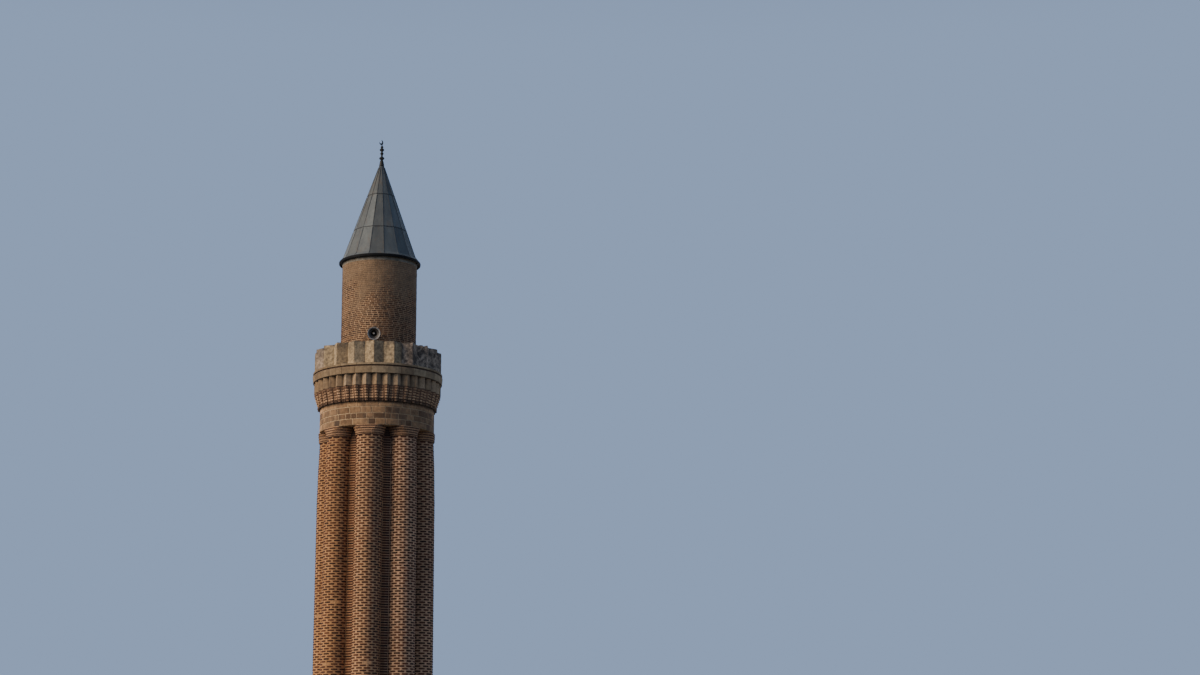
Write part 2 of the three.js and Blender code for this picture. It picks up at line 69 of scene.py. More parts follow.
# Heights taken from the frame
PLINTH_TOP = heights("plinth")[1]
BASE_TOP = heights("base_wall_back")[1]
DRUM_TOP = heights("drum_wall_front")[1]
SHAFT_LOW = heights("shaft_flute_1")[0]
NECK_LOW, NECK_HIGH = heights("neck_ring")
CORBEL_HIGH = heights("corbel_ring")[1]
TEETH_HIGH = heights("toothed_ring")[1]
FASCIA_HIGH = heights("gallery_fascia")[1]
FLOOR_HIGH = heights("gallery_floor")[1]
PARAPET_HIGH = heights("parapet_panel_1")[1]
UPPER_HIGH = heights("upper_shaft_front")[1]
BAND_HIGH = heights("upper_band")[1]
EAVES_HIGH = heights("eaves_ring")[1]
CONE_HIGH = heights("cone_roof")[1]
FINIAL_HIGH = heights("finial")[1]
PLINTH_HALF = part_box("plinth")[1][0]

# Plan sizes that the frame was built from. The drum has as many faces as the shaft has flutes.
BASE_HALF = 2.70
SHOULDER_LOW = 5.00
BASE_TOP_CORNER = BASE_HALF * math.tan(math.pi / 8)
ENTRANCE_WIDTH = 1.00
ENTRANCE_SPRING = 2.20
ENTRANCE_LEAF_OUT = 2.25
DRUM_APOTHEM = 2.45
PANEL_HALF = 0.78
PANEL_LOW = 6.82
PANEL_HIGH = 9.42
PANEL_DEPTH = 0.06
NICHE_WIDTH = 1.04
NICHE_LOW = 7.08
NICHE_SPRING = 8.32
NICHE_DEPTH = 0.33
CORNICE_APOTHEM = 2.56
CORNICE_STEP = 9.95
SHAFT_FOOT_RADIUS = 2.42
FLUTES = 8
FLUTE_PITCH = 360 / FLUTES
FLUTE_CENTRE = 1.77
STRIP_RADIUS = 1.73
STRIP_HALF = 0.165
CAP_LOW = 25.697

# Scale of the shaft's plan by height
TAPER = ((10.30, 1.010), (18.30, 1.004), (23.30, 1.000), (24.66, 0.9878), (CAP_LOW, 0.9690))
HEAD_SCALE = TAPER[-1][1]

# Collars under the neck: half the strip between them, and the radius they keep within
CAP_COURSES = ((0.150, 2.226), (0.122, 2.238), (0.084, 2.248), (0.034, 2.254))
COLLAR_RADIUS = 2.262

# Radii of the gallery. Those of the corbel are of its ridges and its valleys.
NECK_RADIUS = 2.215
TEETH = 38
FIRST_TOOTH = 7.9
CORBEL_FOOT = (2.262, 2.236)
CORBEL_HEAD = (2.450, 2.330)
TOOTH_RIDGE = 2.466
TOOTH_VALLEY = 2.330
FASCIA_FOOT = 2.507
FASCIA_HEAD = 2.532
FILLET_LOW = 28.329
FILLET_RADIUS = 2.515
FOLDS = 20
FIRST_FOLD = 5.1
FOLD_RIDGE = 2.480
FOLD_VALLEY = 2.270
PARAPET_THICKNESS = 0.145

# Upper shaft, roof and loudspeaker
UPPER_RADIUS = 1.465
GALLERY_DOOR_WIDTH = 0.62
GALLERY_DOOR_SPRING = 29.65
GALLERY_LEAF_OUT = 1.33
BAND_RADIUS = 1.469
EAVES_RADIUS = 1.609
GORES = 16
FIRST_GORE = 15.0
CONE_FOOT = 1.568
KNEE_RADIUS = 1.436
KNEE_HEIGHT = 33.12
CONE_HEAD = 0.092
HORN_ANGLE = 3.4
HORN_OUT = 1.90
HORN_HEIGHT = 29.67
HORN_DROOP = 11.0

# Coat of lime on the upper shaft: its colour, and the heights between which it closes up
UPPER_LIME = ((0.275, 0.19, 0.112), 29.8, 33.4)

# Painted shadow under the corbel: its height, its reach up and down, and the radii of the folds it fills
CORBEL_SHADOW = (NECK_HIGH + 0.01, 0.13, 2.265, 2.320)

# Side of the tower where the gallery's stones are stained most and the neck's are palest
STAINED_SIDE = -75.0

# Stained slabs of the parapet: between which headings, and their darkest and lightest tone
STAINED_SLABS = (
    (42, 100, 0.0, 0.15), (270, 284, 0.26, 0.30), (284, 310, 0.18, 0.24), (30, 42, 0.18, 0.24))

# Backs of bricks and stones behind the face of their wall, and how far most stones stand before it
BRICK_BACK = -0.03
STONE_BACK = -0.04
STONE_PROUD = 0.008

# Pointed arches: radius as a share of the width, turn of each half, and length of a ring stone
ARCH_RADIUS = 0.75
ARCH_TURN = 1.23
ARCH_STONE = 0.20


# Plan geometry

def polar(radius, angle):
    """Point in plan at a distance from the axis, at an angle from the front."""
    turn = math.radians(angle)
    return Vector((radius * math.sin(turn), -radius * math.cos(turn)))


def lerp(a, b, t):
    """The value a share t of the way from a to b."""
    return a + (b - a) * t


def taper(height):
    """How much the shaft's plan is scaled at a height."""
    for (low, a), (high, b) in zip(TAPER, TAPER[1:]):
        if height <= high:
            return lerp(a, b, max(0.0, (height - low) / (high - low)))
    return HEAD_SCALE


def flat_wall(angle, apothem):
    """Upright plane wall facing an angle."""
    normal = polar(1, angle)
    right = polar(1, angle + 90)

    def place(along, height, out):
        point = normal * (apothem + out) + right * along
        return point.x, point.y, height
    return place


def sloping_wall(origin, right, up):
    """Plane through a point, with its along and up directions."""
    outward = right.cross(up)

    def place(along, height, out):
        return tuple(origin + right * along + up * height + outward * out)
    return place


def round_wall(radius):
    """Upright drum wall of one radius, or of a radius that follows the height."""
    size = radius if callable(radius) else (lambda height: radius)

    def place(along, height, out):
        angle = math.degrees(along / size(0.0))
        point = polar(size(height) + out, angle)
        return point.x, point.y, height
    return place


def upright(x, y, height):
    """For blocks drawn in plan and raised in height."""
    return x, y, height


class PlanLine:
    """A wall that follows a line in plan, left to right as seen from outside."""

    def __init__(self, points, scale, turn):
        spin = Matrix.Rotation(math.radians(turn), 2)
        self.points = [spin @ Vector(p) for p in points]
        self.scale = scale
        self.runs = [0.0]
        for a, b in zip(self.points, self.points[1:]):
            self.runs.append(self.runs[-1] + (b - a).length)
        self.length = self.runs[-1]
        self.normals = []
        for i in range(len(self.points)):
            ahead = self.points[min(i + 1, len(self.points) - 1)]
            behind = self.points[max(i - 1, 0)]
            step = (ahead - behind).normalized()
            self.normals.append(Vector((step.y, -step.x)))

    def place(self, along, height, out):
        along = min(max(along, 0.0), self.length)
        i = min(bisect.bisect_right(self.runs, along), len(self.runs) - 1) - 1
        t = (along - self.runs[i]) / max(self.runs[i + 1] - self.runs[i], 1e-9)
        point = self.points[i].lerp(self.points[i + 1], t) * self.scale(height)
        point += self.normals[i].lerp(self.normals[i + 1], t).normalized() * out
        return point.x, point.y, height


def flute_plan(strip_half, limit=None):
    """The round face of one flute, from strip to strip, facing the front. A limit is the radius
    that it keeps within under the neck."""
    spans = 48
    corner = polar(STRIP_RADIUS, FLUTE_PITCH / 2) + polar(strip_half, FLUTE_PITCH / 2 - 90)
    centre = polar(FLUTE_CENTRE, 0)
    reach = corner - centre
    sweep = math.degrees(math.atan2(reach.x, -reach.y))
    points = []
    for i in range(spans + 1):
        point = centre + polar(reach.length, lerp(-sweep, sweep, i / spans))
        radius = point.length * HEAD_SCALE
        if limit and radius > limit:
            point *= limit / radius
        points.append(point)
    return points


def between(places, gap=0.0):
    """The runs between neighbouring places, each drawn in at both ends by a gap."""
    return [(left + gap, right - gap) for left, right in zip(places, places[1:])]


def sheet_grid(columns, rows):
    """Points of an upright sheet, ring by ring from its foot: the share of the height, whether it
    is on the back, and the share of the width."""
    for k in range(rows + 1):
        for i in range(2 * columns + 2):
            back = i > columns
            yield k / rows, back, (2 * columns + 1 - i if back else i) / columns


# Outlines, as lists of points, anticlockwise: on a wall (along, height), in plan (x, y)

def rectangle(left, right, low, high):
    """Outline of a rectangle."""
    return [(left, low), (right, low), (right, high), (left, high)]


def disc(along, height, radius, corners):
    """Outline of a round plate with so many corners."""
    turns = [2 * math.pi * i / corners for i in range(corners)]
    return [(along + radius * math.cos(turn), height + radius * math.sin(turn)) for turn in turns]


def plan_outline(corners, turn=0.0):
    """Outline in plan through corners given by radius and angle, all turned by an angle."""
    return [tuple(polar(radius, turn + angle)) for radius, angle in corners]


def edges(outline):
    """Pairs of neighbouring points all the way round an outline."""
    return zip(outline, outline[1:] + outline[:1])


def clip(outline, region):
    """The part of an outline inside a convex region."""
    result = list(outline)
    for (ax, ay), (bx, by) in edges(region):
        side = [(bx - ax) * (y - ay) - (by - ay) * (x - ax) for x, y in result]
        kept = []
        for i, point in enumerate(result):
            before = result[i - 1]
            if (side[i] >= 0) != (side[i - 1] >= 0):
                t = side[i - 1] / (side[i - 1] - side[i])
                kept.append((lerp(before[0], point[0], t), lerp(before[1], point[1], t)))
            if side[i] >= 0:
                kept.append(point)
        result = kept
        if not result:
            return []
    shortest = 1e-4
    clean = [p for i, p in enumerate(result) if math.dist(p, result[i - 1]) > shortest]
    return clean if len(clean) > 2 else []


def area(outline):
    """Area of an outline."""
    return sum(a[0] * b[1] - b[0] * a[1] for a, b in edges(outline)) / 2


def inset(outline, width):
    """An outline moved inwards by a width."""
    moved = []
    count = len(outline)
    for i, (x, y) in enumerate(outline):
        before = Vector(outline[i]) - Vector(outline[i - 1])
        after = Vector(outline[(i + 1) % count]) - Vector(outline[i])
        a = Vector((-before.y, before.x)).normalized()
        b = Vector((-after.y, after.x)).normalized()
        shift = (a + b) * width / max(1 + a.dot(b), 0.35)
        moved.append((x + shift.x, y + shift.y))
    return moved


def extent(region, height):
    """Left and right end of a convex region at a height."""
    crossings = []
    for (ax, ay), (bx, by) in edges(region):
        if (ay - height) * (by - height) <= 0 and ay != by:
            crossings.append(lerp(ax, bx, (height - ay) / (by - ay)))
    return min(crossings), max(crossings)


def arch_points(width, spring, reach=0.0, steps=8):
    """Right half of a two-centred pointed arch, from its spring to its point, reach outside it."""
    radius = ARCH_RADIUS * width
    offset = radius - width / 2
    top = math.acos(offset / (radius + reach))
    points = []
    for i in range(steps + 1):
        turn = top * i / steps
        points.append((
            (radius + reach) * math.cos(turn) - offset,
            spring + (radius + reach) * math.sin(turn)))
    return points


def arch_outline(width, sill, spring):
    """Outline of an opening with a pointed arch."""
    right = arch_points(width, spring)
    left = [(-u, z) for u, z in reversed(right[:-1])]
    return [(-width / 2, sill), (width / 2, sill)] + right + left


class Blocks:
    """Closed blocks gathered into one mesh, each with a tone of its own."""

    def __init__(self, seed=0):
        self.points = []
        self.faces = []
        self.tones = []
        self.random = random.Random(seed)

    def add(self, points, faces, tone=0.5):
        """Takes in one block."""
        first = len(self.points)
        self.points.extend(points)
        self.faces.extend([tuple(first + i for i in face) for face in faces])
        self.tones.extend([tone] * len(points))

    def stack(self, points, count, tone, columns=0):
        """A closed block of stacked rings with count points each. With columns, a ring has that
        many spans along one side and again along the other, and quads between them close it."""
        last = len(points) - count
        faces = []
        for first in range(0, last, count):
            for i in range(count):
                j = (i + 1) % count
                faces.append((first + i, first + j, first + count + j, first + count + i))
        ends = [(i, i + 1, count - 2 - i, count - 1 - i) for i in range(columns)]
        for end in ends or [tuple(range(count))]:
            faces.append(tuple(last + i for i in end))
            faces.append(tuple(reversed(end)))
        self.add(points, faces, tone)

    def stone(self, place, outline, back, front, bevel=0.0, tone=None, columns=0, uneven=0.0):
        """A block on a wall, with an outline, a back and a front face. With columns, the outline
        has that many spans along its low edge and again along its high one. Uneven corners stray
        by up to so much."""
        if uneven:
            chance = self.random.uniform
            outline = [(u + chance(-uneven, uneven), z + chance(-uneven, uneven)) for u, z in outline]
        girth = sum(math.dist(a, b) for a, b in edges(outline))
        bevel = min(bevel, 0.3 * area(outline) / girth)
        rings = [(outline, back), (outline, front - bevel)]
        if bevel > 0:
            rings.append((inset(outline, bevel), front))
        points = [place(u, z, out) for ring, out in rings for u, z in ring]
        self.stack(points, len(outline), self.random.random() if tone is None else tone, columns)

    def brick(self, place, left, right, low, high, back, front, columns=1, bevel=0.0, tone=None):
        """A rectangular block that follows a curved wall in several spans."""
        steps = [lerp(left, right, i / columns) for i in range(columns + 1)]
        outline = [(u, low) for u in steps] + [(u, high) for u in reversed(steps)]
        self.stone(place, outline, back, front, bevel, tone, columns)

    def weathered_tone(self, heading):
        """A tone that is darker on the stained side of the tower than elsewhere."""
        dull, bright, loss = 0.3, 1.0, 0.75
        stained = max(0.0, math.cos(math.radians(heading - STAINED_SIDE))) ** 2
        return self.random.uniform(dull, bright) * (1 - loss * stained)

    def cuts(self, start, end, mean, spread=0.25):
        """Places that divide a run into stones of about a mean length."""
        number = max(1, round((end - start) / mean))
        sizes = [self.random.uniform(1 - spread, 1 + spread) for _ in range(number)]
        places = [start]
        for size in sizes:
            places.append(places[-1] + size * (end - start) / sum(sizes))
        return places

    def around(self, radius, first, mean, spread, gap):
        """Runs of stones all the way round a radius, from a first joint on."""
        return between(self.cuts(first, first + 2 * math.pi * radius, mean, spread), gap)

    def coursed(self, place, region, course, mean, joint, back, front, bevel):
        """Courses of squared stones over a convex region of a wall."""
        smallest, beyond, stray = 4e-3, 1.0, 0.003
        low = min(z for _, z in region)
        high = max(z for _, z in region)
        rows = max(1, round((high - low) / course))
        step = (high - low) / rows
        for row in range(rows):
            bottom = low + row * step + joint / 2
            top = bottom + step - joint
            start, end = extent(region, (bottom + top) / 2)
            ends = self.cuts(start, end, mean)
            ends[0] -= beyond
            ends[-1] += beyond
            for left, right in between(ends, joint / 2):
                outline = clip(rectangle(left, right, bottom, top), region)
                if outline and area(outline) > smallest:
                    proud = front + self.random.uniform(-stray, stray)
                    self.stone(place, outline, back, proud, bevel, uneven=joint / 4)

    def arch_frame(self, place, width, sill, spring, ring, half, top, out, depth, course):
        """Jamb stones, a ring of arch stones and squared stones round an arched opening. The frame
        reaches half to each side and up to its top, and lines the opening to a depth."""
        joint, overlap, ring_proud = 0.012, 0.004, 0.006
        bevel, thin_bevel = 0.006, 0.003
        smallest = 1e-3
        upper_course = 0.6 * course
        rows = max(1, round((spring - sill) / course))
        count = max(3, round(ARCH_RADIUS * width * ARCH_TURN / ARCH_STONE))
        inner = arch_points(width, spring, -overlap, count)
        outer = arch_points(width, spring, ring, count)
        crown = arch_points(width, spring, ring + joint)
        upper_rows = max(1, round((top - spring) / upper_course))
        step = (top - spring) / upper_rows
        mean = 1.8 * step
        arched_rows = min(upper_rows, math.ceil((crown[-1][1] - spring) / step))
        if arched_rows < upper_rows:
            lintel = rectangle(-half, half, spring + arched_rows * step, top)
            self.coursed(place, lintel, step, mean, joint, out + BRICK_BACK, out, thin_bevel)

        def lay(outline, side, back, front, bevel):
            """One stone, mirrored on the left side of the opening."""
            if side < 0:
                outline = [(-u, z) for u, z in reversed(outline)]
            self.stone(place, outline, back, front, bevel)
        for side in (-1, 1):
            for row in range(rows):
                low = lerp(sill, spring, row / rows)
                high = lerp(sill, spring, (row + 1) / rows)
                cell = rectangle(width / 2 - overlap, half, low + joint / 2, high - joint / 2)
                lay(cell, side, -depth, out, bevel)
            for i in range(count):
                cell = [inner[i], outer[i], outer[i + 1], inner[i + 1]]
                lay(inset(cell, joint / 3), side, -depth, out + ring_proud, bevel)
            corner = [(half, spring), (half, top), (0.0, top)] + list(reversed(crown))
            for row in range(arched_rows):
                low = spring + row * step + joint / 2
                for left, right in between(self.cuts(0.0, half, mean, 0.2), joint / 2):
                    cell = clip(corner, rectangle(left, right, low, low + step - joint))
                    if cell and area(cell) > smallest:
                        lay(cell, side, out + BRICK_BACK, out, thin_bevel)

    def turned(self, profile, steps, place=upright):
        """A body of revolution about the vertical of its place. Its profile ends on the axis or
        closes on itself."""
        rings = []
        points = []
        for radius, height in profile:
            if radius == 0:
                rings.append([len(points)] * steps)
                points.append(place(0.0, 0.0, height))
                continue
            rings.append(list(range(len(points), len(points) + steps)))
            for i in range(steps):
                points.append(place(*polar(radius, 360 * i / steps), height))
        if profile[0][0] > 0:
            rings.append(rings[0])
        faces = []
        for lower, upper in zip(rings, rings[1:]):
            for i in range(steps):
                j = (i + 1) % steps
                corners = tuple(dict.fromkeys((lower[i], lower[j], upper[j], upper[i])))
                if len(corners) > 2:
                    faces.append(corners)
        self.add(points, faces)

    def slab(self, left, right, low, high, chips, seed, tone):
        """An upright weathered slab between two plan points, with worn edges and a chipped top."""
        columns, rows = 8, 10
        thickness = PARAPET_THICKNESS * 0.9
        lap, dent, side_worn, top_worn, top_dent = 0.003, 0.004, 0.008, 0.010, 0.006
        run = right - left
        outward = Vector((run.y, -run.x)).normalized()
        points = []
        for rise, back, t in sheet_grid(columns, rows):
            wear = noise.noise(Vector((t * 5, rise * 17, seed)))
            chip = chips * max(0.0, noise.noise(Vector((t * 2.3, seed * 3.1, 4.0))) - 0.12)
            worn = (side_worn if t in (0.0, 1.0) else 0.0) + (top_worn if rise == 1.0 else 0.0)
            spot = left + run * lerp(-lap, 1 + lap, t)
            spot += outward * (-thickness if back else dent * wear - worn)
            points.append((*spot, lerp(low, high - chip - top_dent * abs(wear), rise)))
        self.stack(points, 2 * columns + 2, tone, columns)

    def piece(self, name, material, slot, smooth=None):
        """Makes the object and lets it ride on the tower."""
        mesh = bpy.data.meshes.new(name)
        mesh.from_pydata(self.points, [], self.faces)
        tone = mesh.attributes.new("tone", "FLOAT", "POINT")
        tone.data.foreach_set("value", self.tones)
        mesh.materials.append(material)
        if smooth:
            mesh.shade_smooth()
            mesh.set_sharp_from_angle(angle=math.radians(smooth))
        piece = bpy.data.objects.new(name, mesh)
        bpy.context.scene.collection.objects.link(piece)
        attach(piece, "root")
        return piece


# Finishes

class Nodes:
    """Adds and links the nodes of one node tree."""

    def __init__(self, tree):
        self.tree = tree

    def add(self, kind, inputs=None, **settings):
        """A new node with its settings and inputs."""
        node = self.tree.nodes.new(kind)
        for key, value in settings.items():
            setattr(node, key, value)
        for key, value in (inputs or {}).items():
            self.feed(node.inputs[key], value)
        return node

    def feed(self, socket, value):
        """Links a socket to another one, or sets it to a constant."""
        if isinstance(value, bpy.types.NodeSocket):
            self.tree.links.new(value, socket)
        else:
            socket.default_value = value

    def ramp(self, factor, *stops):
        """A factor turned into a grey or a colour by stops, each with its position and its shade."""
        node = self.add("ShaderNodeValToRGB", {"Fac": factor})
        elements = node.color_ramp.elements
        while len(elements) < len(stops):
            elements.new(0.5)
        for element, (position, shade) in zip(elements, stops):
            element.position = position
            element.color = (*shade, 1.0) if hasattr(shade, "__len__") else (shade, shade, shade, 1.0)
        return node.outputs["Color"]

    def sums(self, operation, a, b):
        """The result of arithmetic with two values."""
        return self.add("ShaderNodeMath", {0: a, 1: b}, operation=operation).outputs[0]

    def rise(self, vector):
        """The upright part of a vector."""
        return self.add("ShaderNodeSeparateXYZ", {"Vector": vector}).outputs["Z"]

    def share(self, value, start, end):
        """Where a value lies between two ends, as 0 to 1."""
        return self.sums("DIVIDE", self.sums("SUBTRACT", value, start), end - start)


class Finish(Nodes):
    """A material and the nodes that paint it, in metres on the object itself."""

    def __init__(self, name, roughness, metallic=0.0, shine=0.5):
        self.material = bpy.data.materials.new(name)
        self.material.use_nodes = True
        super().__init__(self.material.node_tree)
        self.inputs = self.tree.nodes["Principled BSDF"].inputs
        self.inputs["Roughness"].default_value = roughness
        self.inputs["Metallic"].default_value = metallic
        self.inputs["Specular IOR Level"].default_value = shine
        self.place = self.add("ShaderNodeTexCoord").outputs["Object"]

    def stretched(self, scale):
        """The place on the object, scaled along its three axes."""
        return self.add("ShaderNodeMapping", {"Vector": self.place, "Scale": scale}).outputs["Vector"]

    def cloud(self, scale, detail=5.0, rough=0.6, stretch=None):
        """Cloudy noise, drawn out by a stretch under 1."""
        vector = self.stretched(stretch) if stretch else self.place
        inputs = {"Vector": vector, "Scale": scale, "Detail": detail, "Roughness": rough}
        return self.add("ShaderNodeTexNoise", inputs).outputs["Fac"]

    def cells(self, scale):
        """Distance from the middle of the nearest of many small cells."""
        inputs = {"Vector": self.place, "Scale": scale}
        return self.add("ShaderNodeTexVoronoi", inputs).outputs["Distance"]

    def tone(self):
        """The tone of the block."""
        return self.add("ShaderNodeAttribute", attribute_name="tone").outputs["Fac"]

    def height(self):
        """Height over the ground."""
        return self.rise(self.place)

    def reach(self):
        """Distance from the axis of the tower."""
        level = self.stretched((1.0, 1.0, 0.0))
        return self.add("ShaderNodeVectorMath", {0: level}, operation="LENGTH").outputs["Value"]

    def underside(self):
        """One on faces that look down, nought on the others."""
        facing = self.rise(self.add("ShaderNodeNewGeometry").outputs["True Normal"])
        return self.ramp(self.sums("MULTIPLY", facing, -1.0), (0.35, 0.0), (0.9, 1.0))

    def mix(self, factor, a, b, blend="MIX"):
        """Two colours mixed or blended by a factor."""
        node = self.add("ShaderNodeMix", {0: factor}, data_type="RGBA", blend_type=blend)
        for socket, value in ((node.inputs[6], a), (node.inputs[7], b)):
            self.feed(socket, (*value, 1.0) if hasattr(value, "__len__") else value)
        return node.outputs[2]

    def mottled(self, body, source, low, high, amount=1.0):
        """A colour darkened or brightened by a source between two stops."""
        return self.mix(amount, body, self.ramp(source, low, high), "MULTIPLY")

    def limed(self, body, lime, low, high):
        """A thin blotched coat of lime, in patches that close up from one height to another."""
        ragged = self.sums("MULTIPLY", self.cloud(1.3, 7.0, 0.65), 2.0)
        patch = self.sums("SUBTRACT", self.sums("ADD", self.share(self.height(), low, high), ragged), 1.0)
        coat = self.mottled(lime, self.cloud(3.4, 7.0, 0.7), (0.36, 0.66), (0.64, 1.16))
        return self.mix(self.ramp(patch, (0.26, 0.0), (0.62, 0.68)), body, coat)

    def shadow_band(self, body, level, spread, inner, outer):
        """A painted shadow around a height, with a ragged edge, and less so on the ridges of the folds.
        """
        ragged = 0.12
        stray = self.sums("MULTIPLY", self.cloud(5.0, 5.0), ragged)
        height = self.sums("ADD", self.height(), self.sums("SUBTRACT", stray, ragged / 2))
        near = self.share(height, level - spread, level + spread)
        band = self.ramp(near, (0.0, 0.0), (0.35, 1.0), (0.65, 1.0), (1.0, 0.0))
        inward = self.ramp(self.share(self.reach(), inner, outer), (0.0, 0.84), (1.0, 0.18))
        return self.mix(self.sums("MULTIPLY", band, inward), body, (0.05, 0.04, 0.035), "MULTIPLY")

    def relief(self, *layers):
        """Bumps laid over each other, each with its height source, depth in metres and strength."""
        normal = None
        for source, depth, strength in layers:
            inputs = {"Height": source, "Distance": depth, "Strength": strength}
            if normal:
                inputs["Normal"] = normal
            normal = self.add("ShaderNodeBump", inputs).outputs["Normal"]
        self.feed(self.inputs["Normal"], normal)

    def paint(self, colour, roughness=None):
        """Gives the surface its colour, and a roughness that varies."""
        self.feed(self.inputs["Base Color"], colour)
        if roughness:
            self.feed(self.inputs["Roughness"], roughness)


def masonry(name, dark, light, stain, grain=26.0, streak=0.45, mottle=(0.62, 1.18), splash=0.0,
            recess=None, coat=None, seam=None):
    """Stone or brick whose blocks run from a dark to a light tone, stained in streaks, with painted
    shade on faces that look down. Splashes stain it near the ground, painted shade fills a recess
    given by its radii and its head, a coat of lime hides it in patches from one height to another,
    and a painted shadow darkens both sides of a seam."""
    finish = Finish(name, 0.92)
    body = finish.ramp(finish.tone(), (0.0, dark), (1.0, light))
    body = finish.mottled(body, finish.cloud(grain * 0.3, 6.0), (0.3, mottle[0]), (0.7, mottle[1]))
    body = finish.mottled(body, finish.cloud(grain * 2.4, 9.0, 0.78), (0.30, 0.74), (0.68, 1.14))
    body = finish.mottled(body, finish.cells(grain * 2.2), (0.05, 0.70), (0.35, 1.0), 0.5)
    runs = finish.cloud(1.6, 5.0, 0.62, (1.0, 1.0, 0.22))
    amount = finish.sums("MULTIPLY", finish.ramp(runs, (0.46, 0.0), (0.70, 1.0)), streak)
    body = finish.mix(amount, body, stain)
    if splash:
        level = finish.sums("SUBTRACT", finish.height(), finish.cloud(1.8))
        body = finish.mix(finish.ramp(level, (0.0, splash), (0.9, 0.0)), body, stain)
    if coat:
        body = finish.limed(body, *coat)
    painted_shade = [c * 0.35 for c in stain]
    # painted shade: the recess darkens towards its back and under its head, where shadow falls
    if recess:
        deep, shallow, head = recess
        inward = finish.ramp(finish.share(finish.reach(), deep, shallow), (0.0, 0.95), (1.0, 0.0))
        below = finish.ramp(finish.sums("SUBTRACT", head, finish.height()), (0.05, 1.0), (0.35, 0.5))
        body = finish.mix(finish.sums("MULTIPLY", inward, below), body, painted_shade)
    # painted shade: faces that look down are darkened as if in shadow
    body = finish.mix(finish.sums("MULTIPLY", finish.underside(), 0.8), body, painted_shade)
    # painted shadow on both sides of the seam under the corbel
    if seam:
        body = finish.shadow_band(body, *seam)
    finish.paint(body)
    pits = finish.cloud(grain * 1.6, 8.0, 0.7)
    finish.relief((finish.cloud(grain * 0.35, 4.0), 0.010, 0.6), (pits, 0.004, 0.7))
    return finish.material


def weathered_stone(name, crusted, dark, light, stain, top):
    """Blotched parapet stone with lichen, and a dark crust in patches that creep down from its top
    edge. Slabs of the lowest tones have patches of crust all over."""
    finish = Finish(name, 0.93)
    tone = finish.tone()
    body = finish.ramp(tone, (0.0, crusted), (0.2, crusted), (0.3, dark), (1.0, light))
    body = finish.mottled(body, finish.cloud(5.0, 6.0), (0.3, 0.72), (0.7, 1.12))
    body = finish.mottled(body, finish.cloud(10.0, 5.0, 0.7), (0.38, 0.70), (0.62, 1.20))
    spread = finish.ramp(tone, (0.15, 0.08), (0.3, 0.0))
    lichen = finish.sums("ADD", finish.cloud(7.5, 7.0, 0.72), spread)
    body = finish.mix(finish.ramp(lichen, (0.53, 0.0), (0.66, 0.8)), body, stain)
    crust = finish.sums("MULTIPLY", finish.ramp(tone, (0.15, 1.0), (0.3, 0.0)), 0.75)
    sheet = finish.ramp(finish.cloud(1.9, 6.0, 0.62), (0.53, 0.0), (0.60, 1.0))
    body = finish.mix(finish.sums("MULTIPLY", crust, sheet), body, [c * 0.4 for c in stain])
    depth = finish.sums("SUBTRACT", top, finish.height())
    near_top = finish.ramp(depth, (0.02, 0.85), (0.50, 0.0))
    patch = finish.ramp(finish.cloud(2.2, 6.0, 0.65), (0.46, 0.0), (0.60, 1.0))
    finish.paint(finish.mix(finish.sums("MULTIPLY", near_top, patch), body, stain))
    finish.relief((finish.cloud(9.0, 5.0), 0.012, 0.6), (finish.cloud(48.0, 7.0, 0.7), 0.004, 0.7))
    return finish.material


def mortar(name, colour, stain, valley_shade=False, coat=None, seam=None):
    """Rough, lumpy lime mortar, stained by rain, with painted shade where the valleys of the shaft end
    or a painted shadow on both sides of a seam, and hidden by a coat of lime in patches from one
    height to another."""
    finish = Finish(name, 0.97)
    body = finish.ramp(finish.cloud(7.0, 7.0, 0.65), (0.25, [c * 0.70 for c in colour]), (0.75, colour))
    drift = finish.cloud(0.7, 3.0, 0.5, (1.0, 1.0, 0.5))
    body = finish.mottled(body, drift, (0.35, 0.82), (0.65, 1.12))
    body = finish.mottled(body, finish.cloud(19.0, 4.0, 0.6), (0.38, 0.76), (0.62, 1.16))
    runs = finish.cloud(1.3, 5.0, 0.6, (1.0, 1.0, 0.25))
    body = finish.mix(finish.ramp(runs, (0.50, 0.0), (0.76, 0.6)), body, stain)
    # painted shade: darker deep in the valleys and towards the neck that overhangs them
    if valley_shade:
        deep = finish.ramp(finish.share(finish.reach(), STRIP_RADIUS, 2.0), (0.0, 0.78), (1.0, 0.0))
        head = finish.ramp(finish.sums("SUBTRACT", NECK_LOW, finish.height()), (0.25, 1.0), (0.95, 0.0))
        body = finish.mix(finish.sums("MULTIPLY", deep, head), body, [c * 0.5 for c in stain])
    if coat:
        body = finish.limed(body, *coat)
    if seam:
        body = finish.shadow_band(body, *seam)
    finish.paint(body)
    finish.relief((finish.cloud(34.0, 8.0, 0.7), 0.008, 0.8))
    return finish.material


def lead_finish(name, colour, pale, rust, shine=0.5):
    """Weathered lead sheet with pale bloom, dark runs and a little rust."""
    finish = Finish(name, 0.7, 0.1, shine)
    bloom = finish.cloud(3.2, 7.0, 0.66, (1.0, 1.0, 0.35))
    body = finish.ramp(bloom, (0.22, colour), (0.82, pale))
    body = finish.mottled(body, finish.tone(), (0.0, 0.66), (1.0, 1.26))
    runs = finish.ramp(finish.cloud(5.0, 5.0, 0.6, (1.0, 1.0, 0.12)), (0.56, 0.0), (0.74, 0.55))
    roughness = finish.ramp(finish.cloud(9.0, 5.0), (0.3, 0.58), (0.7, 0.82))
    finish.paint(finish.mix(runs, body, rust), roughness)
    finish.relief((finish.cloud(4.5, 3.0), 0.012, 0.5), (finish.cloud(60.0, 5.0), 0.001, 0.5))
    return finish.material


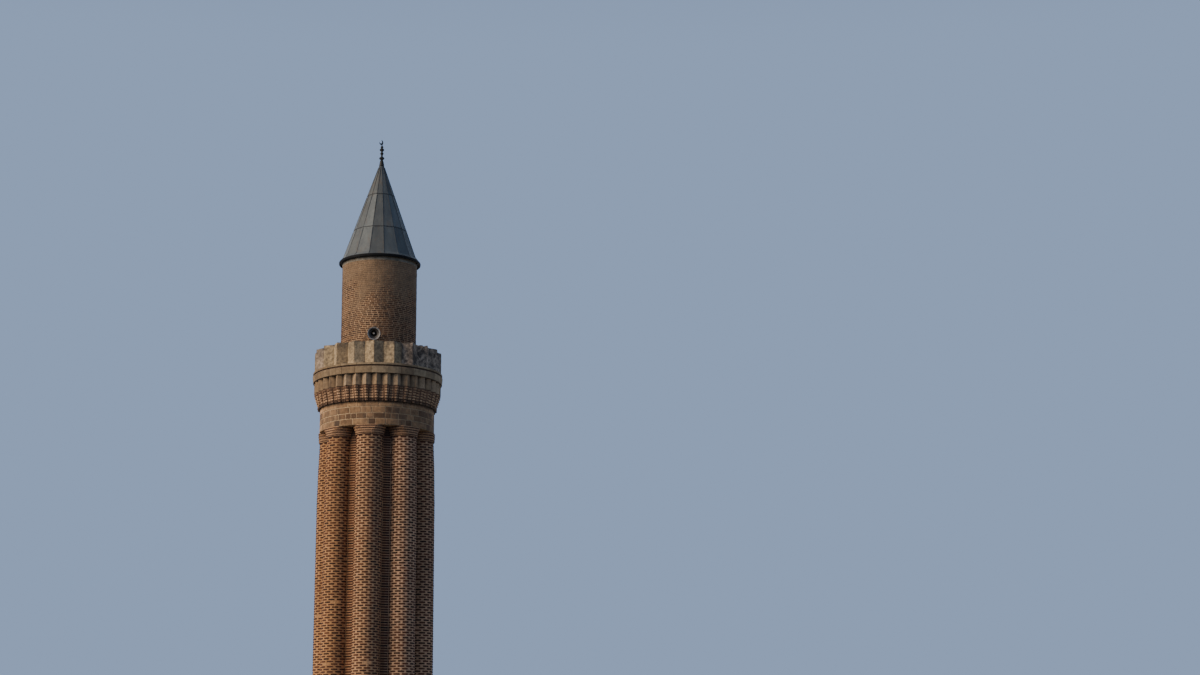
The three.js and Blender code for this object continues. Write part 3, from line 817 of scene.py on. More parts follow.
def dark_metal(name, colour, worn, metallic, shine=0.5):
    """Tarnished metal, rubbed paler here and there."""
    finish = Finish(name, 0.5, metallic, shine)
    roughness = finish.ramp(finish.cloud(40.0, 4.0), (0.3, 0.35), (0.7, 0.62))
    finish.paint(finish.ramp(finish.cloud(16.0, 6.0, 0.65), (0.35, colour), (0.70, worn)), roughness)
    finish.relief((finish.cloud(90.0, 4.0), 0.001, 0.5))
    return finish.material


def timber_finish(name, dark, light):
    """Old planks with upright grain."""
    finish = Finish(name, 0.72)
    grain = finish.cloud(9.0, 8.0, 0.7, (7.0, 7.0, 0.35))
    body = finish.ramp(grain, (0.28, dark), (0.72, light))
    finish.paint(finish.mottled(body, finish.tone(), (0.0, 0.7), (1.0, 1.15)))
    finish.relief((grain, 0.004, 0.7))
    return finish.material


def floor_finish(name, colour):
    """Pale studio floor with a faint mottle."""
    finish = Finish(name, 0.85)
    finish.paint(finish.ramp(finish.cloud(0.15, 3.0), (0.3, [c * 0.97 for c in colour]), (0.7, colour)))
    return finish.material


# What a user may change

def length_of(label, description, default):
    """A length in metres."""
    return FloatProperty(name=label, description=description, default=default, unit="LENGTH", precision=4)


def colour_of(label, description, default):
    """A colour."""
    return FloatVectorProperty(
        name=label, description=description, default=default, subtype="COLOR", size=3, min=0, max=1)


def power_of(label, description, default):
    """Strength of a light in watts a square metre."""
    return FloatProperty(name=label, description=description, default=default, min=0)


class BrickSettings(bpy.types.PropertyGroup):
    """Sizes and colours of the bricks and of their joints"""
    length: length_of("Brick length", "Face length of a shaft brick", 0.236)
    height: length_of("Brick height", "Face height of a shaft brick", 0.059)
    course: length_of("Course", "Height of a shaft course with its joint", 0.0968)
    pitch: length_of("Pitch", "Length of a shaft brick with its upright joint", 0.325)
    proud: length_of("Proud", "How far the bricks stand out of the mortar", 0.008)
    dark: colour_of("Dark brick", "Colour of the darkest shaft bricks", (0.028, 0.011, 0.006))
    light: colour_of("Light brick", "Colour of the lightest shaft bricks", (0.125, 0.044, 0.020))
    mortar: colour_of("Shaft mortar", "Colour of the wide lime joints", (0.61, 0.355, 0.18))
    # joints of the lit and the shaded flutes: partly their own colour, partly painted light and shade
    warm_mortar: colour_of("Warm mortar", "Lime joints of the flutes on the left", (0.61, 0.325, 0.14))
    pale_mortar: colour_of("Pale mortar", "Lime joints of the flutes on the right", (0.70, 0.44, 0.258))
    upper_length: length_of("Upper brick length", "Face length of an upper shaft brick", 0.225)
    upper_course: length_of("Upper course", "Course height of the upper shaft", 0.077)
    upper_dark: colour_of("Dark ochre brick", "Darkest brick of the upper shaft", (0.046, 0.021, 0.010))
    upper_light: colour_of("Light ochre brick", "Lightest brick of the upper shaft", (0.18, 0.092, 0.043))
    upper_mortar: colour_of("Upper mortar", "Joints of the upper shaft", (0.78, 0.52, 0.30))


class StoneSettings(bpy.types.PropertyGroup):
    """Sizes and colours of the stones and of their joints"""
    course: length_of("Base course", "Course height of the square base", 0.30)
    stone: length_of("Base stone", "Mean length of a base stone", 0.58)
    joint: length_of("Joint", "Joint between base stones", 0.014)
    base_dark: colour_of("Dark base stone", "Darkest stone of the base", (0.24, 0.16, 0.085))
    base_light: colour_of("Light base stone", "Lightest stone of the base", (0.50, 0.36, 0.20))
    carved_dark: colour_of("Dark carved stone", "Darkest gallery stone", (0.23, 0.15, 0.076))
    carved_light: colour_of("Light carved stone", "Lightest gallery stone", (0.44, 0.335, 0.20))
    band_dark: colour_of("Dark band stone", "Darkest stone under the eaves", (0.25, 0.22, 0.165))
    band_light: colour_of("Light band stone", "Lightest stone under the eaves", (0.38, 0.35, 0.275))
    tooth_dark: colour_of("Dark tooth", "Darkest stone of the toothed ring", (0.27, 0.172, 0.086))
    tooth_light: colour_of("Light tooth", "Lightest stone of the toothed ring", (0.63, 0.465, 0.285))
    parapet_crust: colour_of("Crusted parapet", "Crusted slabs of the parapet", (0.43, 0.34, 0.25))
    parapet_dark: colour_of("Dark parapet", "Darkest clean slab of the parapet", (0.31, 0.225, 0.125))
    parapet_light: colour_of("Light parapet", "Lightest parapet slab", (0.55, 0.425, 0.25))
    neck_dark: colour_of("Dark neck stone", "Darkest neck stone", (0.12, 0.068, 0.036))
    neck_light: colour_of("Light neck stone", "Lightest neck stone", (0.66, 0.405, 0.20))
    mortar: colour_of("Stone mortar", "Joints between stones", (0.56, 0.40, 0.23))
    # dark mortar that is also painted shade under the fascia, in the groove and between the teeth
    joint_and_shade: colour_of("Dark joint and shade", "Joints under the gallery", (0.085, 0.052, 0.034))
    stain: colour_of("Rain stain", "Colour of the dark runs on stone", (0.07, 0.06, 0.05))


class MetalSettings(bpy.types.PropertyGroup):
    """Sizes and colours of the roof, the finial and the loudspeaker"""
    seam_width: length_of("Seam width", "Width of a standing seam on the roof", 0.032)
    seam_height: length_of("Seam height", "Height of a standing seam on the roof", 0.018)
    first_lap: length_of("First lap", "Height of the lower lap of the roof sheets", 34.205)
    second_lap: length_of("Second lap", "Height of the upper lap of the roof sheets", 35.667)
    lead: colour_of("Lead", "Colour of the roof sheets", (0.074, 0.088, 0.096))
    bloom: colour_of("Lead bloom", "Colour of the pale patches on the roof", (0.146, 0.168, 0.164))
    finial: colour_of("Finial", "Tarnished metal of the finial", (0.012, 0.013, 0.013))
    horn: colour_of("Horn paint", "Paint of the loudspeaker", (0.17, 0.166, 0.158))


class StudioSettings(bpy.types.PropertyGroup):
    """Camera, lights and surround"""
    camera_distance: length_of("Camera distance", "Level distance of the camera from the axis", 90.0)
    camera_height: length_of("Camera height", "Height of the camera over the ground", 9.8)
    camera_side: FloatProperty(
        name="Camera side", description="Angle to the right of the front",
        default=math.radians(9.0), subtype="ANGLE")
    camera_lens: FloatProperty(
        name="Lens", description="Focal length", default=70.0, min=1, subtype="DISTANCE_CAMERA")
    key_power: power_of("Key power", "Strength of the soft key light", 3.6)
    back_power: power_of("Back power", "Strength of the soft light behind", 0.9)
    horizon: colour_of("Horizon", "Colour of the surround near the horizon", (0.28, 0.38, 0.58))
    zenith: colour_of("Zenith", "Colour of the surround overhead", (0.12, 0.17, 0.28))
    below: colour_of("Below", "Colour of the surround under the horizon", (0.09, 0.085, 0.085))
    floor: colour_of("Floor", "Colour of the studio floor", (0.72, 0.71, 0.69))


class MinaretSettings(bpy.types.PropertyGroup):
    """All that a user may change"""
    brick: PointerProperty(type=BrickSettings)
    stone: PointerProperty(type=StoneSettings)
    metal: PointerProperty(type=MetalSettings)
    studio: PointerProperty(type=StudioSettings)


# Stains and textures that several finishes share
DARK_STAIN = (0.04, 0.025, 0.02)
BRICKWORK = {"grain": 30.0, "streak": 0.3, "mottle": (0.8, 1.1)}
CARVED = {"grain": 24.0, "streak": 0.4}


def finish_named(name):
    """The material of one kind, made the first time it is asked for."""
    made = bpy.data.materials.get(name)
    if made:
        return made
    settings = bpy.context.scene.minaret
    brick, stone, metal = settings.brick, settings.stone, settings.metal
    makers = {
        "shaft brick": lambda: masonry(name, brick.dark, brick.light, DARK_STAIN, **BRICKWORK),
        "collar brick": lambda: masonry(
            name, (0.06, 0.026, 0.013), (0.72, 0.43, 0.23), DARK_STAIN, **BRICKWORK),
        "corbel brick": lambda: masonry(
            name, (0.19, 0.10, 0.055), (0.62, 0.395, 0.22), stone.stain, seam=CORBEL_SHADOW, **BRICKWORK),
        "upper brick": lambda: masonry(
            name, brick.upper_dark, brick.upper_light, stone.stain, grain=30.0, streak=0.35,
            mottle=(0.8, 1.1), coat=UPPER_LIME),
        "base stone": lambda: masonry(name, stone.base_dark, stone.base_light, stone.stain, splash=0.6),
        "carved stone": lambda: masonry(
            name, stone.carved_dark, stone.carved_light, stone.stain, **CARVED),
        "band stone": lambda: masonry(name, stone.band_dark, stone.band_light, stone.stain, **CARVED),
        "toothed stone": lambda: masonry(
            name, stone.tooth_dark, stone.tooth_light, stone.stain,
            recess=(TOOTH_VALLEY, TOOTH_VALLEY + 0.065, TEETH_HIGH), **CARVED),
        "neck stone": lambda: masonry(
            name, stone.neck_dark, stone.neck_light, stone.stain, grain=20.0, streak=0.6,
            mottle=(0.52, 1.26), seam=CORBEL_SHADOW),
        "parapet stone": lambda: weathered_stone(
            name, stone.parapet_crust, stone.parapet_dark, stone.parapet_light, stone.stain,
            top=PARAPET_HIGH),
        "shaft mortar": lambda: mortar(name, brick.mortar, (0.22, 0.13, 0.085), valley_shade=True),
        "warm shaft mortar": lambda: mortar(name, brick.warm_mortar, (0.22, 0.12, 0.06), valley_shade=True),
        "pale shaft mortar": lambda: mortar(name, brick.pale_mortar, (0.26, 0.16, 0.11), valley_shade=True),
        "upper mortar": lambda: mortar(name, brick.upper_mortar, (0.2, 0.12, 0.07), coat=UPPER_LIME),
        "stone mortar": lambda: mortar(name, stone.mortar, (0.2, 0.15, 0.1)),
        "neck mortar": lambda: mortar(name, stone.mortar, (0.2, 0.15, 0.1), seam=CORBEL_SHADOW),
        "corbel joint": lambda: mortar(name, (0.22, 0.13, 0.078), (0.06, 0.04, 0.03), seam=CORBEL_SHADOW),
        "dark joint and shade": lambda: mortar(name, stone.joint_and_shade, (0.03, 0.022, 0.018)),
        "roof lead": lambda: lead_finish(name, metal.lead, metal.bloom, (0.12, 0.085, 0.055)),
        # darker than the sheets: painted shadow along the seams and the laps
        "seam lead": lambda: lead_finish(
            name, (0.035, 0.042, 0.048), (0.075, 0.085, 0.09), (0.05, 0.035, 0.025)),
        # near black: dark lead, partly painted shadow under the eaves
        "eaves lead": lambda: lead_finish(
            name, (0.004, 0.0045, 0.005), (0.011, 0.012, 0.014), (0.008, 0.006, 0.005), shine=0.15),
        "finial metal": lambda: dark_metal(
            name, metal.finial, (0.042, 0.044, 0.041), metallic=0.1, shine=0.25),
        "dark iron": lambda: dark_metal(name, (0.03, 0.028, 0.027), (0.10, 0.06, 0.04), metallic=0.6),
        "horn paint": lambda: dark_metal(name, metal.horn, (0.34, 0.34, 0.325), metallic=0.1, shine=0.35),
        "pale enamel": lambda: dark_metal(name, (0.45, 0.44, 0.40), (0.62, 0.60, 0.55), metallic=0.0),
        # the reflector is dark metal and partly painted shade deep in the horn
        "horn core": lambda: dark_metal(name, (0.012, 0.012, 0.014), (0.03, 0.03, 0.03), metallic=0.2),
        # painted shade: a dark lining over the inside of the bell
        "horn throat": lambda: dark_metal(
            name, (0.026, 0.023, 0.021), (0.055, 0.05, 0.045), metallic=0.0),
        "door timber": lambda: timber_finish(name, (0.035, 0.02, 0.012), (0.15, 0.085, 0.045)),
    }
    return makers[name]()


def dress(material, *beginnings):
    """Gives the nodes of the frame whose names begin so a finish, on their own material slots."""
    for name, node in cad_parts.items():
        if name.startswith(beginnings):
            for slot in node.material_slots:
                slot.material = material


# Operators: one for each piece or group of like pieces

class LayBase(bpy.types.Operator):
    """Squared stones of the plinth, the square base and its chamfered shoulders"""
    bl_idname = "minaret.lay_base"
    bl_label = "Base stones"

    def execute(self, context):
        stone = context.scene.minaret.stone
        dress(finish_named("stone mortar"), "base_wall", "plinth")
        blocks = Blocks(11)
        sizes = {"course": stone.course, "mean": stone.stone, "joint": stone.joint, "back": STONE_BACK,
                 "front": STONE_PROUD, "bevel": 0.008}
        for angle in (90, 180, 270):
            reach = BASE_HALF + (STONE_PROUD if angle == 180 else 0.0)
            blocks.coursed(flat_wall(angle, BASE_HALF), self.wall_outline(reach), **sizes)
        self.lay_front(blocks, sizes)
        for turn in range(4):
            self.lay_shoulder(blocks, sizes, 90 * turn)
        blocks.piece("base_stones", finish_named("base stone"), "base_stone")
        kerb = Blocks(12)
        depth = PLINTH_HALF - BASE_HALF - 0.012
        for angle in (0, 90, 180, 270):
            half = PLINTH_HALF if angle % 180 == 0 else PLINTH_HALF - depth
            kerb.coursed(
                flat_wall(angle, PLINTH_HALF), rectangle(-half, half, 0.0, PLINTH_TOP + 0.01),
                course=PLINTH_TOP, mean=0.95, joint=0.012, back=-depth, front=0.006, bevel=0.012)
        kerb.piece("plinth_kerb", finish_named("base stone"), "base_stone")
        return {"FINISHED"}

    def wall_outline(self, reach):
        """One side of the base: square up to the shoulders, then narrowing to the octagon's side."""
        return [
            (-reach, PLINTH_TOP), (reach, PLINTH_TOP), (reach, SHOULDER_LOW),
            (BASE_TOP_CORNER, BASE_TOP), (-BASE_TOP_CORNER, BASE_TOP), (-reach, SHOULDER_LOW)]

    def lay_front(self, blocks, sizes):
        """The front wall, round the frame of its entrance."""
        front = flat_wall(0, BASE_HALF)
        jamb, courses, far = 0.36, 11, 10.0
        half = ENTRANCE_WIDTH / 2 + jamb
        top = PLINTH_TOP + courses * sizes["course"]
        edge = half + sizes["joint"] / 2
        wall = self.wall_outline(BASE_HALF + STONE_PROUD)
        for part in ((-far, -edge, 0, top), (edge, far, 0, top), (-far, far, top, far)):
            blocks.coursed(front, clip(wall, rectangle(*part)), **sizes)
        blocks.arch_frame(
            front, ENTRANCE_WIDTH, PLINTH_TOP, ENTRANCE_SPRING, ring=0.24, half=half, top=top,
            out=0.03, depth=BASE_HALF - ENTRANCE_LEAF_OUT - 0.02, course=0.40)

    def lay_shoulder(self, blocks, sizes, turn):
        """The triangle that chamfers one corner between the square and the octagon."""
        spin = Matrix.Rotation(math.radians(turn), 3, "Z")
        low = Vector((BASE_HALF, -BASE_HALF, SHOULDER_LOW))
        left = Vector((BASE_TOP_CORNER, -BASE_HALF, BASE_TOP))
        right = Vector((BASE_HALF, -BASE_TOP_CORNER, BASE_TOP))
        rise = (left + right) / 2 - low
        slope = sloping_wall(spin @ low, spin @ (right - left).normalized(), spin @ rise.normalized())
        half = (right - left).length / 2
        triangle = [(0, 0), (half, rise.length), (-half, rise.length)]
        courses = 5
        blocks.coursed(slope, triangle, **{**sizes, "course": rise.length / courses})


class LayDrum(bpy.types.Operator):
    """Stones of the octagonal drum with a framed blind niche on each face, and its cornice"""
    bl_idname = "minaret.lay_drum"
    bl_label = "Drum stones"

    def execute(self, context):
        joint = context.scene.minaret.stone.joint
        dress(finish_named("stone mortar"), "drum_")
        blocks = Blocks(21)
        tangent = math.tan(math.radians(FLUTE_PITCH / 2))
        half = DRUM_APOTHEM * tangent
        edge = PANEL_HALF + joint / 2
        panel = -PANEL_DEPTH + 0.006
        for face in range(FLUTES):
            wall = flat_wall(face * FLUTE_PITCH, DRUM_APOTHEM)
            for part in (
                    (-half, -edge, BASE_TOP, DRUM_TOP), (edge, half, BASE_TOP, DRUM_TOP),
                    (-edge, edge, BASE_TOP, PANEL_LOW), (-edge, edge, PANEL_HIGH, DRUM_TOP)):
                blocks.coursed(
                    wall, rectangle(*part), course=0.30, mean=0.45, joint=joint, back=STONE_BACK,
                    front=STONE_PROUD, bevel=0.007)
            blocks.coursed(
                wall, rectangle(-PANEL_HALF, PANEL_HALF, PANEL_LOW, NICHE_LOW), course=0.26, mean=0.5,
                joint=joint, back=-0.1, front=panel, bevel=0.006)
            blocks.arch_frame(
                wall, NICHE_WIDTH, NICHE_LOW, NICHE_SPRING, ring=0.2, half=PANEL_HALF, top=PANEL_HIGH,
                out=panel, depth=NICHE_DEPTH, course=0.31)
            blocks.coursed(
                wall, arch_outline(NICHE_WIDTH, NICHE_LOW, NICHE_SPRING), course=0.31, mean=0.4,
                joint=joint, back=STONE_BACK - NICHE_DEPTH, front=STONE_PROUD - NICHE_DEPTH, bevel=0.006)
        blocks.piece("drum_stones", finish_named("base stone"), "base_stone")
        ring = Blocks(22)
        half = CORNICE_APOTHEM * tangent
        for face in range(FLUTES):
            ring.coursed(
                flat_wall(face * FLUTE_PITCH, CORNICE_APOTHEM),
                rectangle(-half, half, DRUM_TOP, CORNICE_STEP), course=0.25, mean=0.7, joint=joint,
                back=-0.1, front=STONE_PROUD, bevel=0.014)
        for left, right in ring.around(SHAFT_FOOT_RADIUS, 0.0, 0.62, 0.25, joint / 2):
            ring.brick(
                round_wall(SHAFT_FOOT_RADIUS), left, right, CORNICE_STEP + 0.005, SHAFT_LOW - 0.005,
                back=-0.08, front=STONE_PROUD, columns=4, bevel=0.016)
        ring.piece("drum_cornice_stones", finish_named("carved stone"), "carved_stone")
        return {"FINISHED"}


class LayShaft(bpy.types.Operator):
    """Bricks of the eight flutes and of the strips between them, and the collars under the neck"""
    bl_idname = "minaret.lay_shaft"
    bl_label = "Shaft bricks"

    def execute(self, context):
        brick = context.scene.minaret.brick
        plan = flute_plan(STRIP_HALF)
        rows = round((CAP_LOW - SHAFT_LOW) / brick.course)
        step = (CAP_LOW - SHAFT_LOW) / rows
        edge = 0.018
        collars = Blocks(110)
        for flute in range(FLUTES):
            blocks = Blocks(100 + flute)
            line = PlanLine(plan, taper, flute * FLUTE_PITCH)
            strip = flat_wall((flute + 0.5) * FLUTE_PITCH, 0.0)
            for row in range(rows):
                low = SHAFT_LOW + row * step + (step - brick.height) / 2
                self.lay_course(blocks, line, row, low, brick)
                out = STRIP_RADIUS * taper(low)
                half = STRIP_HALF - edge - blocks.random.uniform(0.0, 0.014)
                drift = blocks.random.uniform(-0.004, 0.004)
                blocks.brick(
                    strip, drift - half, drift + half, low - 0.003, low + brick.height + 0.005,
                    out + BRICK_BACK, out + brick.proud)
            self.lay_cap(blocks, collars, flute, brick)
            blocks.piece(f"flute_bricks_{flute + 1}", finish_named("shaft brick"), "shaft_brick")
        collars.piece("collar_bricks", finish_named("collar brick"), "shaft_brick")
        # partly the joints' own colour, partly painted light: warmer on the lit flutes, paler on the
        # shaded
        joints = {"shaft mortar": (1, 5), "pale shaft mortar": (2, 3, 4), "warm shaft mortar": (6, 7, 8)}
        for joint, flutes in joints.items():
            dress(finish_named(joint), *[f"shaft_flute_{flute}" for flute in flutes])
        return {"FINISHED"}

    def lay_course(self, blocks, line, row, low, brick):
        """One course of one flute in running bond, with cut bricks at its ends and a few lost."""
        shortest, lost, edge = 0.05, 0.004, 0.012
        chance = blocks.random
        offset = 0.5 if row % 2 else 0.0
        count = math.ceil(line.length / brick.pitch) + 1
        for i in range(-count, count + 1):
            middle = line.length / 2 + (i + offset) * brick.pitch + chance.uniform(-0.008, 0.008)
            half = brick.length / 2 + chance.uniform(-0.012, 0.008)
            left = max(middle - half, edge)
            right = min(middle + half, line.length - edge)
            if right - left < shortest or chance.random() < lost:
                continue
            bottom = low + chance.uniform(-0.003, 0.003)
            top = bottom + brick.height + chance.uniform(-0.004, 0.003)
            proud = brick.proud + chance.uniform(-0.003, 0.003)
            blocks.brick(line.place, left, right, bottom, top, BRICK_BACK, proud, columns=2)

    def lay_cap(self, blocks, collars, flute, brick):
        """The stepped collars that carry the neck over one flute: a bed of lime and a course of
        bricks each, over one thin dark course that paints the shadow under the lowest collar. The
        strip's bricks under the neck take the darkest tone, painted shade in the niches."""
        step = (NECK_LOW - CAP_LOW) / len(CAP_COURSES)
        strip = flat_wall((flute + 0.5) * FLUTE_PITCH, STRIP_RADIUS * HEAD_SCALE)
        spans, gap, bed_gap, bed_edge, edge = 24, 0.006, 0.002, 0.01, 0.02
        brick_foot, brick_head, thin_foot, thin_head = 0.018, 0.068, -0.018, 0.012
        for course, (strip_half, limit) in enumerate(CAP_COURSES):
            bottom = CAP_LOW + course * step
            top = bottom + step
            half = strip_half * HEAD_SCALE - 2 * gap
            # painted shade: the strip's bricks under the neck take the darkest tone
            blocks.brick(
                strip, -half, half, bottom + gap, top - gap, BRICK_BACK, front=0.006, tone=0.0)
            line = PlanLine(flute_plan(strip_half, limit), lambda height: HEAD_SCALE, flute * FLUTE_PITCH)
            proud = COLLAR_RADIUS - limit
            ends = collars.cuts(edge, line.length - edge, brick.length + 0.03, 0.08)
            collars.brick(
                line.place, bed_edge, line.length - bed_edge, bottom + bed_gap, top - bed_gap,
                BRICK_BACK, proud - 0.006, spans, tone=collars.random.uniform(0.8, 1.0))
            for left, right in between(ends, gap):
                collars.brick(
                    line.place, left, right, bottom + brick_foot, bottom + brick_head, BRICK_BACK,
                    proud, columns=3, tone=collars.random.uniform(0.0, 0.14))
            # painted shadow: a thin dark course under the lowest collar
            if course == 0:
                blocks.brick(
                    line.place, edge, line.length - edge, bottom + thin_foot, bottom + thin_head,
                    BRICK_BACK, 0.005, spans, tone=0.0)


class LayNeck(bpy.types.Operator):
    """Small squared stones of the neck ring"""
    bl_idname = "minaret.lay_neck"
    bl_label = "Neck stones"

    def execute(self, context):
        dress(finish_named("neck mortar"), "neck_ring")
        blocks = Blocks(31)
        wall = round_wall(NECK_RADIUS)
        gap, contrast, pale_from, dull_gain, bright_gain = 0.014, 1.4, 0.8, 0.25, 0.10
        low = NECK_LOW
        for height, mean, dull, bright in (
                (0.230, 0.42, 0.0, 0.75), (0.215, 0.30, 0.0, 0.70), (0.250, 0.40, 0.0, 0.75),
                (0.215, 0.48, 0.5, 0.88)):
            start = blocks.random.uniform(0, mean)
            for left, right in blocks.around(NECK_RADIUS, start, mean, 0.45, gap):
                heading = math.degrees((left + right) / 2 / NECK_RADIUS)
                pale = math.cos(math.radians(heading - STAINED_SIDE)) > pale_from
                least, most = (dull + dull_gain, bright + bright_gain) if pale else (dull, bright)
                tone = blocks.random.uniform(least, most) ** contrast
                blocks.brick(
                    wall, left, right, low + gap, low + height - gap, BRICK_BACK, 0.007,
                    columns=3, bevel=0.006, tone=tone)
            low += height
        blocks.piece("neck_stones", finish_named("neck stone"), "neck_stone")
        return {"FINISHED"}


class LayCorbel(bpy.types.Operator):
    """Folded brick courses that step out under the gallery, and the toothed stones over them"""
    bl_idname = "minaret.lay_corbel"
    bl_label = "Corbel and teeth"

    def execute(self, context):
        dress(finish_named("corbel joint"), "corbel_ring")
        # the toothed ring's backing is dark: painted shade in the recesses between the teeth
        dress(finish_named("dark joint and shade"), "toothed_ring")
        self.lay_folds(context.scene.minaret.brick.height)
        self.lay_teeth()
        return {"FINISHED"}

    def lay_folds(self, brick_height):
        """Six courses of ridges and valleys, each a mitred pair of bricks, paler on the shaded right side
        as painted light. The lowest and the highest course are dark as painted shadow."""
        pitch = 360 / TEETH
        courses, depth, joint = 6, 0.10, 0.012
        proud, first_proud = 0.010, 0.038
        foot_spread, head_spread, covered = 0.26, 0.40, 0.70
        shaded_side, paler = 100.0, 0.35
        blocks = Blocks(41)
        step = (CORBEL_HIGH - NECK_HIGH) / courses
        for course in range(courses):
            t = (course + 1) / courses
            ridge = lerp(CORBEL_FOOT[0], CORBEL_HEAD[0], t) + (proud if course else first_proud)
            valley = lerp(CORBEL_FOOT[1], CORBEL_HEAD[1], t) + proud
            low = NECK_HIGH + course * step + (joint if course else 0.0)
            spread = lerp(foot_spread, head_spread, t)
            # painted shadow: the lowest and the highest course take the darkest tones
            tones = (0.2, 1.0) if 0 < course < courses - 1 else (0.0, 0.2)
            for tooth in range(TEETH):
                middle = FIRST_TOOTH + tooth * pitch
                for tip, foot, half, heading in (
                        (ridge, valley, spread, middle),
                        (valley, ridge, covered - spread, middle + pitch / 2)):
                    reach = lerp(tip, foot, half)
                    side = half * pitch / 2
                    outer = [(reach, -side), (tip, 0.0), (reach, side)]
                    inner = [(radius - depth, angle) for radius, angle in reversed(outer)]
                    high = low + brick_height + blocks.random.uniform(-0.006, 0.004)
                    # painted light: bricks towards the shaded right side are made paler
                    pale = max(0.0, math.cos(math.radians(heading - shaded_side))) ** 0.5
                    tone = blocks.random.uniform(*tones) + paler * pale
                    blocks.stone(
                        upright, plan_outline(outer + inner, heading), low, high, tone=tone, columns=2)
        blocks.piece("corbel_bricks", finish_named("corbel brick"), "shaft_brick")

    def lay_teeth(self):
        """Blunt teeth side by side, with a narrow joint in each valley."""
        pitch = 360 / TEETH
        blunt, joint = 0.22, 0.1
        outer, inner = TOOTH_VALLEY + 0.004, TOOTH_VALLEY - 0.06
        side = pitch / 2 - joint
        teeth = Blocks(42)
        for tooth in range(TEETH):
            middle = FIRST_TOOTH + tooth * pitch
            ridge = TOOTH_RIDGE + teeth.random.uniform(0.0, 0.008)
            corners = [
                (outer, -side), (ridge, -blunt), (ridge, blunt), (outer, side), (inner, side),
                (inner, -side)]
            teeth.stone(
                upright, plan_outline(corners, middle), CORBEL_HIGH + 0.014, TEETH_HIGH - 0.004,
                bevel=0.006, tone=teeth.weathered_tone(middle))
        teeth.piece("toothed_stones", finish_named("toothed stone"), "carved_stone")


class LayGallery(bpy.types.Operator):
    """Fascia and fillet stones round the edge of the gallery floor, and its paving"""
    bl_idname = "minaret.lay_gallery"
    bl_label = "Gallery edge and paving"

    def execute(self, context):
        # dark mortar: painted shade under the fascia and in the groove, dark joints in the paving
        dress(finish_named("dark joint and shade"), "gallery_fascia", "gallery_floor")
        blocks = Blocks(51)

        def fascia_radius(height):
            """The fascia leans out towards its top."""
            t = (height - TEETH_HIGH) / (FASCIA_HIGH - TEETH_HIGH)
            return lerp(FASCIA_FOOT, FASCIA_HEAD, min(max(t, 0.0), 1.0))
        first, gap = 0.15, 0.003
        for radius, wall, low, high, count, depth in (
                (FASCIA_FOOT, round_wall(fascia_radius), TEETH_HIGH, FASCIA_HIGH, 26, 0.10),
                (FILLET_RADIUS, round_wall(FILLET_RADIUS), FILLET_LOW, FLOOR_HIGH, 24, 0.08)):
            mean = 2 * math.pi * radius / count
            for left, right in blocks.around(radius, first, mean, 0.15, gap):
                tone = blocks.weathered_tone(math.degrees((left + right) / 2 / radius))
                blocks.brick(
                    wall, left, right, low - gap, high + gap, -depth, 0.005, columns=6, bevel=0.008,
                    tone=tone)
        blocks.piece("gallery_edge_stones", finish_named("carved stone"), "carved_stone")
        paving = Blocks(52)
        for inner, outer, count in ((1.475, 1.858, 22), (1.868, 2.255, 26)):
            gap = math.degrees(0.005 / inner)
            for left, right in between(paving.cuts(0.0, 360.0, 360 / count, 0.2), gap):
                turns = [lerp(left, right, k / 2) for k in range(3)]
                corners = [(outer, turn) for turn in turns] + [(inner, turn) for turn in reversed(turns)]
                rise = paving.random.uniform(0.004, 0.009)
                paving.stone(
                    upright, plan_outline(corners), FLOOR_HIGH - 0.02, FLOOR_HIGH + rise, bevel=0.004)
        paving.piece("gallery_paving", finish_named("carved stone"), "carved_stone")
        return {"FINISHED"}


class SetParapet(bpy.types.Operator):
    """Folded parapet of weathered slabs, chipped along the top"""
    bl_idname = "minaret.set_parapet"
    bl_label = "Parapet slabs"

    def execute(self, context):
        finish = finish_named("parapet stone")
        pitch = 360 / FOLDS
        panels = 5
        folds_each = FOLDS // panels
        broken_from, broken_to, deep, shallow = 50, 90, 0.30, 0.05
        for panel in range(panels):
            blocks = Blocks(61 + panel)
            for fold in range(panel * folds_each, (panel + 1) * folds_each):
                middle = FIRST_FOLD + fold * pitch
                ridge = polar(FOLD_RIDGE, middle)
                chips = deep if broken_from < middle < broken_to else shallow
                for side in (-1, 1):
                    valley = polar(FOLD_VALLEY, middle + side * pitch / 2)
                    left, right = (valley, ridge) if side < 0 else (ridge, valley)
                    high = PARAPET_HIGH + blocks.random.uniform(-0.012, 0.0)
                    tone = self.slab_tone(blocks.random, middle + side * pitch / 4)
                    blocks.slab(left, right, FLOOR_HIGH, high, chips, middle + side, tone)
            piece = blocks.piece(f"parapet_slabs_{panel + 1}", finish, "parapet_stone")
            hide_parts(f"parapet_panel_{panel + 1}")
        return {"FINISHED"}

    def slab_tone(self, chance, heading):
        """Tone of the slab at a heading: any, or that of a stained stretch of the parapet."""
        tone = chance.uniform(0.3, 1.0)
        for start, end, dull, bright in STAINED_SLABS:
            if start < heading % 360 < end:
                tone = chance.uniform(dull, bright)
        return tone


